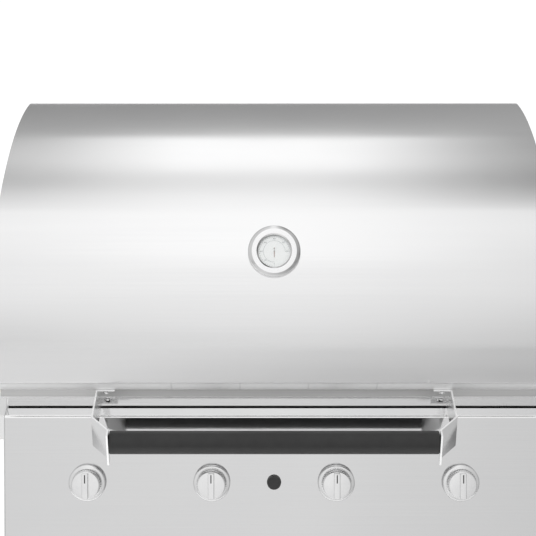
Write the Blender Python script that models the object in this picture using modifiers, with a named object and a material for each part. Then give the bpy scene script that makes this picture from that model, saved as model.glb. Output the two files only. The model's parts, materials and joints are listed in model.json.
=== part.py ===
"""Built-in gas grill head: four tube burners under a hinged, curved stainless hood.

Metres, +Z up. The front faces -Y and the flat bottom pan lies at Z = 0.
The origin is under the middle of the whole grill, handle and hinges included.
"""
import math

import bmesh
import bpy
from mathutils import Matrix, Vector

# Gaps and allowances
seat = 0.0003
overrun = 0.004

# Whole grill
hood_width = 0.780

# Hood skin: its side outline from the tucked band over the top to the rear wall.
# Places are measured back from the ledge's front edge and up from the ledge.
hood_sheet = 0.0012
hood_gap = 0.0017
lip_setback = 0.0231
crease_overhang = 0.0343
crease_height = 0.0781
front_tilt = math.radians(9.0)
front_radius = 0.567
front_end_tilt = math.radians(21.8)
shoulder_radius = 0.157
shoulder_end_tilt = math.radians(69.6)
crown_radius = 0.609
crown_end_tilt = math.radians(101.9)
rear_radius = 0.060
rear_wall_height = 0.0160
cap_sheet = 0.0015
liner_inset = 0.018
liner_sheet = 0.0010
liner_rear_height = 0.0350

# Control panel: a sheet with a level ledge and a sloping face for the knobs
panel_sheet = 0.0015
panel_tilt = math.radians(26.0)
panel_foot_height = 0.041
panel_edge_radius = 0.0045
panel_return = 0.030
ledge_depth = 0.0765
control_setback = 0.096
knob_pitch = 0.180
burner_count = 4

# Side panels with their hanging flanges
side_sheet = 0.0015
flange_width = 0.0240
flange_lip = 0.0120
flange_front_drop = 0.0340

# Rear panel and bottom pan
rear_sheet = 0.0015
vent_width = 0.070
vent_height = 0.006
vent_count = 5
vent_pitch = 0.130
vent_drop = 0.050
pan_sheet = 0.0015
pan_setback = 0.0060

# Firebox: stepped walls that carry the grates and the flame tamers
box_sheet = 0.0015
box_side_margin = 0.0180
box_front = 0.0780
box_rear_margin = 0.0170
box_depth = 0.150
box_foot_height = 0.056
box_rim_drop = 0.0018
box_foot_width = 0.0140
grate_step = 0.0130
tamer_step = 0.0110
grate_shelf_drop = 0.0345
tamer_shelf_drop = 0.0745

# Cooking grates and warming rack
grate_thickness = 0.0110
grate_bar = 0.0080
grate_slot = 0.0130
grate_rail = 0.0140
rack_height = 0.1050
rack_depth = 0.1300
rack_leg_margin = 0.0090
rack_bays = 2
rack_thickness = 0.0050
rack_bar = 0.0050
rack_slot = 0.0150
rack_rear_margin = 0.0400
rack_leg_radius = 0.0030

# Burners, flame tamers and electrodes
burner_radius = 0.0125
burner_drop = 0.1060
burner_mouth_radius = 0.0150
burner_neck_radius = 0.0095
burner_bore_radius = 0.0080
burner_mouth_setback = 0.0500
burner_rear_gap = 0.0003
burner_wall = 0.0015
venturi_length = 0.055
tamer_sheet = 0.0012
tamer_half_width = 0.0560
tamer_rise = 0.0240
tamer_foot = 0.0100
electrode_radius = 0.0040
electrode_length = 0.036
electrode_tip = 0.014
electrode_tip_radius = 0.0012
electrode_setback = 0.0600

# Gas line and valves
manifold_radius = 0.0095
manifold_margin = 0.0450
manifold_drop = 0.0340
pipe_steps = 5
bend_share = 0.9
pipe_radius = 0.0055
flare_radius = 0.0100
flare_length = 0.0110
flare_gap = 0.0040
valve_radius = 0.0125
valve_length = 0.0340
valve_gap = 0.0040
valve_bore_depth = 0.0190
outlet_radius = 0.0050
outlet_reach = 0.0080
boss_radius = 0.0065
stem_radius = 0.0040
stem_length = 0.0420
stem_hole_radius = 0.0070

# Knobs
knob_radius = 0.0265
knob_grip_radius = 0.0205
knob_skirt = 0.0060
knob_height = 0.0260
knob_lift = 0.0045
knob_travel = 0.0030
knob_edge = 0.0020
grip_bar_width = 0.0090
grip_bar_height = 0.0070

# Igniter
button_radius = 0.0100
button_height = 0.0080
button_length = 0.0280
button_travel = 0.0050
module_radius = 0.0150
module_length = 0.0480
button_clearance = 0.0004

# Drip tray and rails
tray_sheet = 0.0012
tray_side_margin = 0.0450
tray_height = 0.0220
tray_rear_margin = 0.0300
tray_front_margin = 0.0100
tray_front_gap = 0.0030
tray_pull = 0.0130
tray_foot_gap = 0.0030
rail_width = 0.0200
rail_height = 0.0060
rail_lip = 0.0040
rail_lip_height = 0.0100
rail_setback = 0.0080

# Handle: a bar held at its ends by two bent straps that are screwed to the tucked band
bar_radius = 0.0160
bar_half_length = 0.2250
bar_ahead = 0.1200
bar_height = 0.0365
strap_sheet = 0.0025
strap_low = 0.0100
strap_high = 0.0575
strap_outside = 0.2525
strap_bend_ahead = 0.0890
strap_shoulder = 0.0015
strap_end_margin = 0.0160
tab_width = 0.0263
tab_low = 0.0190
tab_high = 0.0700
screw_head_radius = 0.0056
screw_head_height = 0.0028
screw_inset = 0.0138
lower_screw = 0.0350
upper_screw = 0.0630

# Thermometer
gauge_place_tilt = math.radians(43.8)
gauge_tilt = math.radians(37.0)
gauge_radius = 0.0364
gauge_face_radius = 0.0318
gauge_edge = 0.0030
gauge_window_radius = 0.0240
gauge_cavity_radius = 0.0300
gauge_height = 0.0125
gauge_lip = 0.0015
gauge_dial_depth = 0.0060
gauge_dial_sheet = 0.0010
gauge_lens_sheet = 0.0014
gauge_stem_radius = 0.0050
gauge_stem_length = 0.0140
gauge_probe_radius = 0.0025
gauge_probe_length = 0.0600
gauge_hole_margin = 0.0006
nut_radius = 0.0095
nut_height = 0.0050
needle_length = 0.0085
needle_tail = 0.0062
needle_width = 0.0013
needle_sheet = 0.0007
needle_lift = 0.0007
needle_hub_radius = 0.0022
needle_hub_height = 0.0016
needle_pin_radius = 0.0008
liner_hole_radius = 0.0065

# Hinges and stops
hinge_inset = 0.120
hinge_standoff = 0.0130
hinge_height = 0.0120
knuckle_radius = 0.0065
pin_radius = 0.0030
leaf_width = 0.0300
cheek_width = 0.0100
strap_leaf_sheet = 0.0025
leaf_length = 0.0480
pin_head = 0.0030
bumper_width = 0.0120
bumper_place_share = 0.86

# Facets of arcs and round pieces
edge_steps = 4
front_steps = 5
shoulder_steps = 12
crown_steps = 7
rear_steps = 7
fine_sides = 32
round_sides = 20
small_sides = 12
nut_sides = 6
knuckle_steps = 8


def hood_outline():
    """Outer side outline of the hood skin: lip, tucked band, crease, arcs and rear wall."""
    y, z = -crease_overhang, crease_height
    points = [(lip_setback, hood_gap), (y, z)]
    tilt = front_tilt
    arcs = ((front_radius, front_end_tilt, front_steps),
            (shoulder_radius, shoulder_end_tilt, shoulder_steps),
            (crown_radius, crown_end_tilt, crown_steps), (rear_radius, math.pi, rear_steps))
    for radius, end_tilt, steps in arcs:
        middle_y = y + radius * math.cos(tilt)
        middle_z = z - radius * math.sin(tilt)
        for step in range(1, steps + 1):
            angle = tilt + (end_tilt - tilt) * step / steps
            y = middle_y - radius * math.cos(angle)
            z = middle_z + radius * math.sin(angle)
            points.append((y, z))
        tilt = end_tilt
    points.append((y, rear_wall_height))
    return points


def shoulder_point(tilt):
    """The place on the hood's shoulder arc where the skin leans back by tilt."""
    middle_y = -crease_overhang + front_radius * math.cos(front_tilt)
    middle_z = crease_height - front_radius * math.sin(front_tilt)
    change = front_radius - shoulder_radius
    middle_y -= change * math.cos(front_end_tilt)
    middle_z += change * math.sin(front_end_tilt)
    return middle_y - shoulder_radius * math.cos(tilt), middle_z + shoulder_radius * math.sin(tilt)


def inset_line(points, distance):
    """The same open line moved to its inner side by a distance, with mitred corners."""
    moved = []
    normals = []
    for start, end in zip(points, points[1:]):
        length = math.dist(start, end)
        normals.append(((end[1] - start[1]) / length, -(end[0] - start[0]) / length))
    for index, (y, z) in enumerate(points):
        before = normals[max(index - 1, 0)]
        after = normals[min(index, len(normals) - 1)]
        lean = 1 + before[0] * after[0] + before[1] * after[1]
        moved.append((y + distance * (before[0] + after[0]) / lean,
                      z + distance * (before[1] + after[1]) / lean))
    return moved


# Places worked out from the sizes above
hood_rear = hood_outline()[-1][0]
pivot_back = hood_rear + hinge_standoff
front_reach = bar_ahead + bar_radius
rear_reach = pivot_back + knuckle_radius
front_edge = (front_reach - rear_reach) / 2
deck_height = box_foot_height + box_depth
panel_drop = deck_height - panel_foot_height
half_width = hood_width / 2
box_half_width = half_width - box_side_margin
tray_half_width = half_width - tray_side_margin
tray_front_half_width = half_width - tray_front_margin
manifold_half_width = half_width - manifold_margin
hinge_place = half_width - hinge_inset
side_inner = half_width + seat
panel_normal = Vector((0, -math.cos(panel_tilt), math.sin(panel_tilt)))
face_down = Vector((0, -math.sin(panel_tilt), -math.cos(panel_tilt)))
panel_turn = math.pi / 2 - panel_tilt
knob_places = [(index - (burner_count - 1) / 2) * knob_pitch for index in range(burner_count)]


def place(x, y, z):
    """A point given across, back from the ledge's front edge and up from the ledge."""
    return Vector((x, front_edge + y, deck_height + z))


pivot = place(0, pivot_back, hinge_height)

for leftover in list(bpy.data.objects):
    bpy.data.objects.remove(leftover)
parts = bpy.data.collections.new("gas_grill")
cutters = bpy.data.collections.new("cutters")
bpy.context.scene.collection.children.link(parts)
bpy.context.scene.collection.children.link(cutters)


def new_object(name, data, colour=None, roughness=0.4, metallic=1.0):
    """A named object in the grill's collection with a Principled material of its own."""
    made = bpy.data.objects.new(name, data)
    parts.objects.link(made)
    if colour:
        material = bpy.data.materials.new(name + "_finish")
        material.use_nodes = True
        shader = material.node_tree.nodes["Principled BSDF"]
        shader.inputs["Base Color"].default_value = (*colour, 1)
        shader.inputs["Roughness"].default_value = roughness
        shader.inputs["Metallic"].default_value = metallic
        data.materials.clear()
        data.materials.append(material)
    return made


steel = dict(colour=(0.62, 0.62, 0.61), roughness=0.28, metallic=1.0)
dull_steel = dict(colour=(0.45, 0.45, 0.44), roughness=0.45, metallic=1.0)
black_rubber = dict(colour=(0.02, 0.02, 0.02), roughness=0.75, metallic=0.0)
black_paint = dict(colour=(0.03, 0.03, 0.03), roughness=0.35, metallic=0.0)
brass = dict(colour=(0.70, 0.52, 0.25), roughness=0.35, metallic=1.0)
chrome = dict(colour=(0.75, 0.75, 0.75), roughness=0.12, metallic=1.0)
white_card = dict(colour=(0.86, 0.87, 0.84), roughness=0.55, metallic=0.0)
clear_glass = dict(colour=(0.92, 0.95, 0.95), roughness=0.03, metallic=0.0)
ceramic = dict(colour=(0.88, 0.86, 0.80), roughness=0.50, metallic=0.0)
red_paint = dict(colour=(0.35, 0.08, 0.05), roughness=0.50, metallic=0.0)


def to_mesh(shape, name=None):
    """Turns an object into a plain mesh object with its modifiers applied."""
    bpy.context.view_layer.update()
    evaluated = shape.evaluated_get(bpy.context.evaluated_depsgraph_get())
    mesh = bpy.data.meshes.new_from_object(evaluated)
    tidy = bmesh.new()
    tidy.from_mesh(mesh)
    bmesh.ops.remove_doubles(tidy, verts=tidy.verts, dist=0.00001)
    tidy.to_mesh(mesh)
    tidy.free()
    name = name or shape.name
    matrix = shape.matrix_world.copy()
    bpy.data.objects.remove(shape)
    made = new_object(name, mesh)
    made.matrix_world = matrix
    return made


def as_cutter(shape):
    """Hides a shape in the cutters' collection."""
    parts.objects.unlink(shape)
    cutters.objects.link(shape)
    shape.display_type = "WIRE"
    shape.hide_render = True
    return shape


def combine(target, tool, operation="DIFFERENCE"):
    """Cuts the tool from the target, or joins it to the target, which then carries it."""
    modifier = target.modifiers.new(operation.lower(), "BOOLEAN")
    modifier.operation = operation
    modifier.object = attach(as_cutter(tool), target)
    return target


def mesh_from(bm, name, **finish):
    """A new object from a finished bmesh."""
    mesh = bpy.data.meshes.new(name)
    bm.to_mesh(mesh)
    bm.free()
    return new_object(name, mesh, **finish)


def block(name, low, high, **finish):
    """A box between two corners of its own frame, with its origin at that frame's origin."""
    low, high = Vector(low), Vector(high)
    bm = bmesh.new()
    bmesh.ops.create_cube(bm, size=1)
    bmesh.ops.scale(bm, vec=high - low, verts=bm.verts)
    bmesh.ops.translate(bm, vec=(high + low) / 2, verts=bm.verts)
    return mesh_from(bm, name, **finish)


def rod(name, start, end, radius, sides=small_sides, **finish):
    """A round bar between two points."""
    start, end = Vector(start), Vector(end)
    bm = bmesh.new()
    bmesh.ops.create_cone(bm, cap_ends=True, segments=sides, radius1=radius, radius2=radius,
                          depth=(end - start).length)
    made = mesh_from(bm, name, **finish)
    made.location = (start + end) / 2
    made.rotation_euler = (end - start).to_track_quat("Z", "Y").to_euler()
    return made


def turned(name, profile, sides=round_sides, closed=False, **finish):
    """A shape turned about its own Z axis from (radius, height) points, top to bottom."""
    bm = bmesh.new()
    ring = [bm.verts.new((radius, 0, height)) for radius, height in profile]
    pairs = list(zip(ring, ring[1:]))
    if closed:
        pairs.append((ring[-1], ring[0]))
    for pair in pairs:
        bm.edges.new(pair)
    made = mesh_from(bm, name, **finish)
    screw = made.modifiers.new("turn", "SCREW")
    screw.steps = sides
    screw.render_steps = sides
    screw.use_merge_vertices = True
    screw.merge_threshold = 0.00001
    return made


def bent_sheet(name, points, thickness, ends, axis="X", **finish):
    """A folded sheet: an open line swept between two ends, outer side on the line."""
    bm = bmesh.new()
    corner = {"X": lambda u, v, end: (end, u, v), "Y": lambda u, v, end: (u, end, v),
              "Z": lambda u, v, end: (u, v, end)}[axis]
    rows = [[bm.verts.new(corner(u, v, end)) for end in ends] for u, v in points]
    for (a, b), (c, d) in zip(rows, rows[1:]):
        bm.faces.new((a, b, d, c))
    made = mesh_from(bm, name, **finish)
    add_wall(made, thickness)
    return made


def add_wall(shape, thickness):
    """Gives an open surface its sheet thickness on the inner side."""
    wall = shape.modifiers.new("wall", "SOLIDIFY")
    wall.thickness = thickness
    wall.offset = -1
    wall.use_even_offset = True


def flat_plate(name, outlines, thickness, **finish):
    """A flat plate, with holes, from closed outlines in its own XY plane."""
    curve = bpy.data.curves.new(name, "CURVE")
    curve.dimensions = "2D"
    curve.fill_mode = "BOTH"
    curve.extrude = thickness / 2
    for outline in outlines:
        spline = curve.splines.new("POLY")
        spline.points.add(len(outline) - 1)
        for point, (x, y) in zip(spline.points, outline):
            point.co = (x, y, 0, 1)
        spline.use_cyclic_u = True
    return new_object(name, curve, **finish)


def circle(x, y, radius, sides=small_sides):
    """The corners of a round outline."""
    turns = [2 * math.pi * index / sides for index in range(sides)]
    return [(x + radius * math.cos(turn), y + radius * math.sin(turn)) for turn in turns]


def rectangle(x_low, y_low, x_high, y_high):
    """The corners of a rectangular outline."""
    return [(x_low, y_low), (x_high, y_low), (x_high, y_high), (x_low, y_high)]


def mirrored(shape, name):
    """The opposite-hand copy of a piece, on the other side of the middle plane."""
    bpy.context.view_layer.update()
    evaluated = shape.evaluated_get(bpy.context.evaluated_depsgraph_get())
    mesh = bpy.data.meshes.new_from_object(evaluated)
    mesh.transform(Matrix.Scale(-1, 4, (1, 0, 0)) @ shape.matrix_world)
    mesh.flip_normals()
    return new_object(name, mesh)


def stand_in(shape, origin, turn):
    """Puts a turned piece at its place with its own Z axis along a tilted axis."""
    shape.location = origin
    shape.rotation_euler = (turn, 0, 0)
    return shape


def fused(name, shapes):
    """One solid made of shapes that overlap, such as parts welded together."""
    base = to_mesh(shapes[0], name)
    for shape in shapes[1:]:
        combine(base, to_mesh(shape), "UNION")
    return base


def carrier(name, location, parent=None):
    """An empty on a joint's axis that its moving pieces are parented to."""
    empty = bpy.data.objects.new(name, None)
    cutters.objects.link(empty)
    empty.location = location
    if parent:
        attach(empty, parent)
    return empty


def attach(shape, parent):
    """Parents a piece to a carrier without moving it."""
    bpy.context.view_layer.update()
    shape.parent = parent
    shape.matrix_parent_inverse = parent.matrix_world.inverted()
    return shape


def stepped_walls(name, rings, thickness, **finish):
    """Four folded walls from rectangles at falling heights: (half width, front, rear, z)."""
    bm = bmesh.new()
    loops = []
    for reach, front, rear, z in rings:
        corners = ((-reach, front), (reach, front), (reach, rear), (-reach, rear))
        loops.append([bm.verts.new(place(x, y, z)) for x, y in corners])
    for upper, lower in zip(loops, loops[1:]):
        for index in range(len(upper)):
            after = (index + 1) % len(upper)
            bm.faces.new((upper[index], upper[after], lower[after], lower[index]))
    made = mesh_from(bm, name, **finish)
    add_wall(made, thickness)
    return made


def side_plate(name, outlines, middle, width, **finish):
    """A flat plate standing across X, from outlines in world Y and Z."""
    plate = flat_plate(name, outlines, width, **finish)
    plate.rotation_euler = (math.pi / 2, 0, math.pi / 2)
    plate.location.x = middle
    return plate


def wall_plate(name, outlines, middle, thickness, **finish):
    """A flat plate standing across Y, from outlines in world X and Z."""
    plate = flat_plate(name, outlines, thickness, **finish)
    plate.rotation_euler.x = math.pi / 2
    plate.location.y = middle
    return plate


def world_line(points):
    """Side outline points turned from ledge places into world Y and Z."""
    return [(front_edge + y, deck_height + z) for y, z in points]


def panel_place(x, along, lift):
    """A point on the sloping face: across, down the slope from the edge, out of it."""
    return place(x, 0, 0) + face_down * along + panel_normal * lift


def make_side_panels():
    """The side sheets, each with a hanging flange bent out at the top and a front return."""
    reach = half_width + flange_width
    lean = math.tan(panel_tilt) * (deck_height)
    line = ((reach, deck_height - flange_lip), (reach, deck_height), (side_inner, deck_height),
            (side_inner, 0))
    ends = (front_edge - lean - overrun, front_edge + hood_rear)
    panel = bent_sheet("right_side_panel", line, side_sheet, ends, axis="Y", **steel)
    lap = side_sheet / 2
    low = (side_inner + lap, -flange_front_drop, -side_sheet)
    front = block("flange_front", low, (reach - lap, -lap, overrun))
    combine(panel, stand_in(front, place(0, 0, 0), panel_turn), "UNION")
    wedge = block("front_wedge", (half_width - overrun, -2 * deck_height, 0),
                  (reach + overrun, deck_height, deck_height))
    combine(panel, stand_in(wedge, place(0, 0, 0), panel_turn))
    mirrored(panel, "left_side_panel")


def make_control_panel():
    """The ledge and the sloping knob face, folded from one sheet and pierced for the stems."""
    foot = -panel_drop * math.tan(panel_tilt)
    line = [(foot + panel_return, -panel_drop), (foot, -panel_drop)]
    middle = panel_edge_radius * (1 - math.sin(panel_tilt)) / math.cos(panel_tilt)
    for step in range(edge_steps + 1):
        angle = panel_tilt + (math.pi / 2 - panel_tilt) * step / edge_steps
        line.append((middle - panel_edge_radius * math.cos(angle),
                     panel_edge_radius * (math.sin(angle) - 1)))
    line.append((ledge_depth, 0))
    panel = bent_sheet("control_panel", world_line(line), panel_sheet, (-half_width, half_width),
                       **steel)
    holes = [(x, stem_hole_radius) for x in knob_places]
    holes.append((0, button_radius + button_clearance))
    for x, radius in holes:
        cutter = rod("stem_hole", panel_place(x, control_setback, -panel_sheet - overrun),
                     panel_place(x, control_setback, overrun), radius, round_sides)
        combine(panel, cutter)


def make_rear_panel():
    """The rear sheet with its row of vents and the hole for the gas pipe."""
    outlines = [rectangle(-half_width, 0, half_width, deck_height - seat)]
    top = deck_height - vent_drop
    for index in range(vent_count):
        x = (index - (vent_count - 1) / 2) * vent_pitch
        outlines.append(rectangle(x - vent_width / 2, top - vent_height, x + vent_width / 2, top))
    outlines.append(circle(pipe_side, manifold_z, pipe_radius + seat * 2))
    wall_plate("rear_panel", outlines, front_edge + hood_rear - rear_sheet / 2, rear_sheet, **steel)


def make_bottom_pan():
    """The flat pan under the body, with the two angle rails welded to it for the drip tray."""
    front = front_edge + panel_foot + pan_setback
    rear = front_edge + hood_rear - rear_sheet - seat
    shapes = [block("bottom_pan", (-half_width, front, 0), (half_width, rear, pan_sheet),
                    **dull_steel)]
    low_z, step_z = pan_sheet / 2, pan_sheet + rail_height
    length = rear - tray_rear_margin - front
    for side in (-1, 1):
        lip_in = side * (tray_half_width + seat)
        lip_out = side * (tray_half_width + seat + rail_lip)
        foot_in = side * (tray_half_width - rail_width)
        outline = [(foot_in, low_z), (lip_out, low_z), (lip_out, step_z + rail_lip_height),
                   (lip_in, step_z + rail_lip_height), (lip_in, step_z), (foot_in, step_z)]
        shapes.append(wall_plate("rail", [outline], front + rail_setback + length / 2, length,
                                 **dull_steel))
    fused("bottom_pan", shapes)


def make_firebox():
    """Stepped burner box of four folded walls, mitred at its corners: the rim lies under the
    ledge, and the steps carry the grates and the flame tamers."""
    inner_steps = ((0, -box_rim_drop), (0, -grate_shelf_drop), (grate_step, -grate_shelf_drop),
                   (grate_step, -tamer_shelf_drop), (grate_step + tamer_step, -tamer_shelf_drop),
                   (grate_step + tamer_step, -box_depth),
                   (grate_step + tamer_step + box_foot_width, -box_depth))
    rim_rear = hood_rear - rear_sheet - seat
    rings = [(half_width, box_front - box_rear_margin, rim_rear, -box_rim_drop)]
    for step, z in inner_steps:
        rings.append((box_half_width - step, box_front + step, box_rear - step, z))
    outward = box_side_margin + overrun
    inward = grate_step + tamer_step + box_foot_width + overrun
    outer = box_corners(outward)
    inner = box_corners(-inward)
    for index, (side, x, y) in enumerate((("front", 0, -seat), ("right", seat, 0),
                                          ("rear", 0, seat), ("left", -seat, 0))):
        after = (index + 1) % len(outer)
        corners = (outer[index], outer[after], inner[after], inner[index])
        mitre = flat_plate("mitre", [[(cx + x, cy + y) for cx, cy in corners]], deck_height * 2)
        wall = stepped_walls(f"firebox_{side}", rings, box_sheet, **dull_steel)
        combine(wall, to_mesh(mitre), "INTERSECT")
        if side == "front":
            pierce_for_burners(wall)


def box_corners(growth):
    """The firebox's upper rectangle seen from above, grown or shrunk on every side."""
    return rectangle(-box_half_width - growth, front_edge + box_front - growth,
                     box_half_width + growth, front_edge + box_rear + growth)


def pierce_for_burners(wall):
    """The four holes that the burners' necks pass through."""
    for x in knob_places:
        start = place(x, box_front - overrun, -burner_drop)
        end = place(x, box_front + box_rear_margin * 2, -burner_drop)
        combine(wall, rod("burner_hole", start, end, burner_radius + seat, small_sides))


def make_grates():
    """Two cooking grates of flat bars, lying side by side on the firebox's upper step."""
    width = box_half_width - 2 * seat
    slots = int((width - grate_bar) / (grate_bar + grate_slot))
    pitch = (width - grate_bar) / slots
    low_y, high_y = front_edge + box_front + seat, front_edge + box_rear - seat
    for name, start in (("left_grate", seat - box_half_width), ("right_grate", seat)):
        outlines = [rectangle(start, low_y, start + width, high_y)]
        for index in range(slots):
            x = start + grate_bar + index * pitch
            outlines.append(rectangle(x, low_y + grate_rail, x + pitch - grate_bar,
                                      high_y - grate_rail))
        grate = flat_plate(name, outlines, grate_thickness, **dull_steel)
        grate.location.z = deck_height - grate_shelf_drop + seat + grate_thickness / 2


def make_warming_rack():
    """A narrow rack over the rear of the grates, on four legs that stand on the firebox's rim."""
    reach = box_half_width + rack_leg_margin
    rear = front_edge + box_rear - rack_rear_margin
    front = rear - rack_depth
    rows = int((rack_depth - rack_bar) / (rack_bar + rack_slot))
    pitch = (rack_depth - rack_bar) / rows
    bay = (2 * reach - rack_bar) / rack_bays
    outlines = [rectangle(-reach, front, reach, rear)]
    for column in range(rack_bays):
        x = rack_bar - reach + column * bay
        for row in range(rows):
            y = front + rack_bar + row * pitch
            outlines.append(rectangle(x, y, x + bay - rack_bar, y + pitch - rack_bar))
    rack = flat_plate("rack", outlines, rack_thickness, **chrome)
    rack.location.z = deck_height + rack_height
    shapes = [rack]
    for x in (-box_half_width - rack_leg_margin / 2, box_half_width + rack_leg_margin / 2):
        for y in (front + rack_bar, rear - rack_bar):
            foot = (x, y, deck_height - box_rim_drop + seat)
            head = (x, y, deck_height + rack_height)
            shapes.append(rod("rack_leg", foot, head, rack_leg_radius, small_sides))
    fused("warming_rack", shapes)


def make_burners():
    """Four tube burners with a bell mouth at the valve and a closed rear end."""
    length = box_rear - grate_step - tamer_step - burner_rear_gap - burner_mouth_setback
    mouth_bore = burner_mouth_radius - burner_wall
    profile = ((0, length), (burner_radius, length), (burner_radius, venturi_length),
               (burner_neck_radius, venturi_length / 2), (burner_mouth_radius, 0),
               (mouth_bore, 0), (burner_bore_radius, venturi_length / 2), (0, venturi_length))
    for index, x in enumerate(knob_places, 1):
        burner = turned(f"burner_{index}", profile, small_sides, **dull_steel)
        burner.location = place(x, burner_mouth_setback, -burner_drop)
        burner.rotation_euler.x = -math.pi / 2


def make_flame_tamers():
    """Four peaked covers over the burners, with flat feet on the firebox's lower step."""
    foot = deck_height - tamer_shelf_drop + seat + tamer_sheet
    ends = (front_edge + box_rear - grate_step - seat, front_edge + box_front + grate_step + seat)
    for index, x in enumerate(knob_places, 1):
        shoulder = tamer_half_width - tamer_foot
        line = ((x - tamer_half_width, foot), (x - shoulder, foot), (x, foot + tamer_rise),
                (x + shoulder, foot), (x + tamer_half_width, foot))
        bent_sheet(f"flame_tamer_{index}", line, tamer_sheet, ends, axis="Y", **dull_steel)


def make_electrodes():
    """Two ceramic spark electrodes, each beside one burner of its pair, tips pointing back."""
    top = electrode_length + electrode_tip
    profile = ((0, top), (electrode_tip_radius, top), (electrode_tip_radius, electrode_length),
               (electrode_radius, electrode_length), (electrode_radius, 0), (0, 0))
    side = burner_radius + electrode_radius + seat
    for name, x in (("left_electrode", knob_places[0] + side),
                    ("right_electrode", knob_places[-1] - side)):
        electrode = turned(name, profile, small_sides, **ceramic)
        electrode.location = place(x, box_front + electrode_setback, -burner_drop)
        electrode.rotation_euler.x = -math.pi / 2


def make_gas_line():
    """The manifold under the valves, with the pipe brazed in its end that runs to the rear."""
    y = valve_middle.y
    manifold = rod("manifold", (-manifold_half_width, y, manifold_z),
                   (manifold_half_width, y, manifold_z), manifold_radius, small_sides, **dull_steel)
    bend = (pipe_side - manifold_half_width - seat) * bend_share
    points = [(manifold_half_width - overrun, y)]
    for step in range(pipe_steps + 1):
        angle = math.pi / 2 * step / pipe_steps
        points.append((pipe_side - bend * (1 - math.sin(angle)),
                       y + bend * (1 - math.cos(angle))))
    points.append((pipe_side, front_edge + rear_reach - seat))
    curve = bpy.data.curves.new("inlet_pipe", "CURVE")
    curve.dimensions = "3D"
    curve.bevel_depth = pipe_radius
    curve.bevel_resolution = 2
    curve.use_fill_caps = True
    spline = curve.splines.new("POLY")
    spline.points.add(len(points) - 1)
    for point, (x, y) in zip(spline.points, points):
        point.co = (x, y, manifold_z, 1)
    start = front_edge + hood_rear + flare_gap
    nut = rod("flare_nut", (pipe_side, start, manifold_z),
              (pipe_side, start + flare_length, manifold_z), flare_radius, nut_sides)
    fused("manifold", [manifold, new_object("inlet_pipe", curve), nut])


def make_valves():
    """Four gas valves, each with its turning stem and a knob that pushes in along the stem."""
    face = panel_sheet + valve_gap
    for index, x in enumerate(knob_places, 1):
        origin = panel_place(x, control_setback, 0)
        middle = Vector((x, valve_middle.y, valve_middle.z))
        valve = rod(f"valve_body_{index}", origin - panel_normal * (face + valve_length),
                    origin - panel_normal * face, valve_radius, small_sides, **brass)
        outlet_start = Vector((x, middle.y, deck_height - burner_drop))
        outlet_end = place(x, burner_mouth_setback + outlet_reach, -burner_drop)
        combine(valve, rod("outlet", outlet_start, outlet_end, outlet_radius), "UNION")
        boss_end = Vector((x, middle.y, manifold_z + manifold_radius + seat))
        combine(valve, rod("boss", middle, boss_end, boss_radius), "UNION")
        bore = rod("bore", origin - panel_normal * (face + valve_bore_depth),
                   origin + panel_normal * overrun, stem_radius + seat)
        combine(valve, bore)
        make_knob(index, origin, seat - face - valve_bore_depth)


def make_knob(index, origin, stem_foot):
    """One valve's stem and its knob, on the valve's own axis."""
    turning = carrier(f"turn_axis_{index}", origin)
    stem_top = stem_foot + stem_length
    profile = ((0, stem_top), (stem_radius, stem_top), (stem_radius, stem_foot), (0, stem_foot))
    stem = turned(f"valve_stem_{index}", profile, small_sides, **brass)
    attach(stand_in(stem, origin, panel_turn), turning)
    bore = stem_radius + seat
    bore_end = stem_top + knob_travel + seat
    crown = knob_lift + knob_height
    profile = ((0, crown), (knob_grip_radius - knob_edge, crown),
               (knob_grip_radius, crown - knob_edge), (knob_grip_radius, knob_lift + knob_skirt),
               (knob_radius, knob_lift + knob_skirt - knob_edge), (knob_radius, knob_lift),
               (bore, knob_lift), (bore, bore_end), (0, bore_end))
    knob = stand_in(turned(f"knob_{index}", profile, round_sides, **steel), origin, panel_turn)
    reach = knob_grip_radius - knob_edge
    bar = block("grip_bar", (-grip_bar_width / 2, -reach, crown - knob_edge),
                (grip_bar_width / 2, reach, crown + grip_bar_height))
    combine(knob, stand_in(bar, origin, panel_turn), "UNION")
    attach(knob, carrier(f"push_axis_{index}", origin, turning))


def make_igniter():
    """The igniter module behind the panel and the button that slides in it."""
    origin = panel_place(0, control_setback, 0)
    top = -panel_sheet - seat
    bore = button_radius + button_clearance
    floor = button_height - button_length - button_travel - 2 * seat
    profile = ((0, floor), (bore, floor), (bore, top), (module_radius, top),
               (module_radius, top - module_length), (0, top - module_length))
    module = turned("igniter_module", profile, round_sides, **black_paint)
    stand_in(module, origin, panel_turn)
    edge = button_radius - button_clearance
    profile = ((0, button_height), (edge, button_height), (button_radius, button_height - knob_edge),
               (button_radius, button_height - button_length), (0, button_height - button_length))
    button = turned("igniter_button", profile, round_sides, **black_paint)
    attach(stand_in(button, origin, panel_turn), carrier("button_axis", origin))


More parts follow.
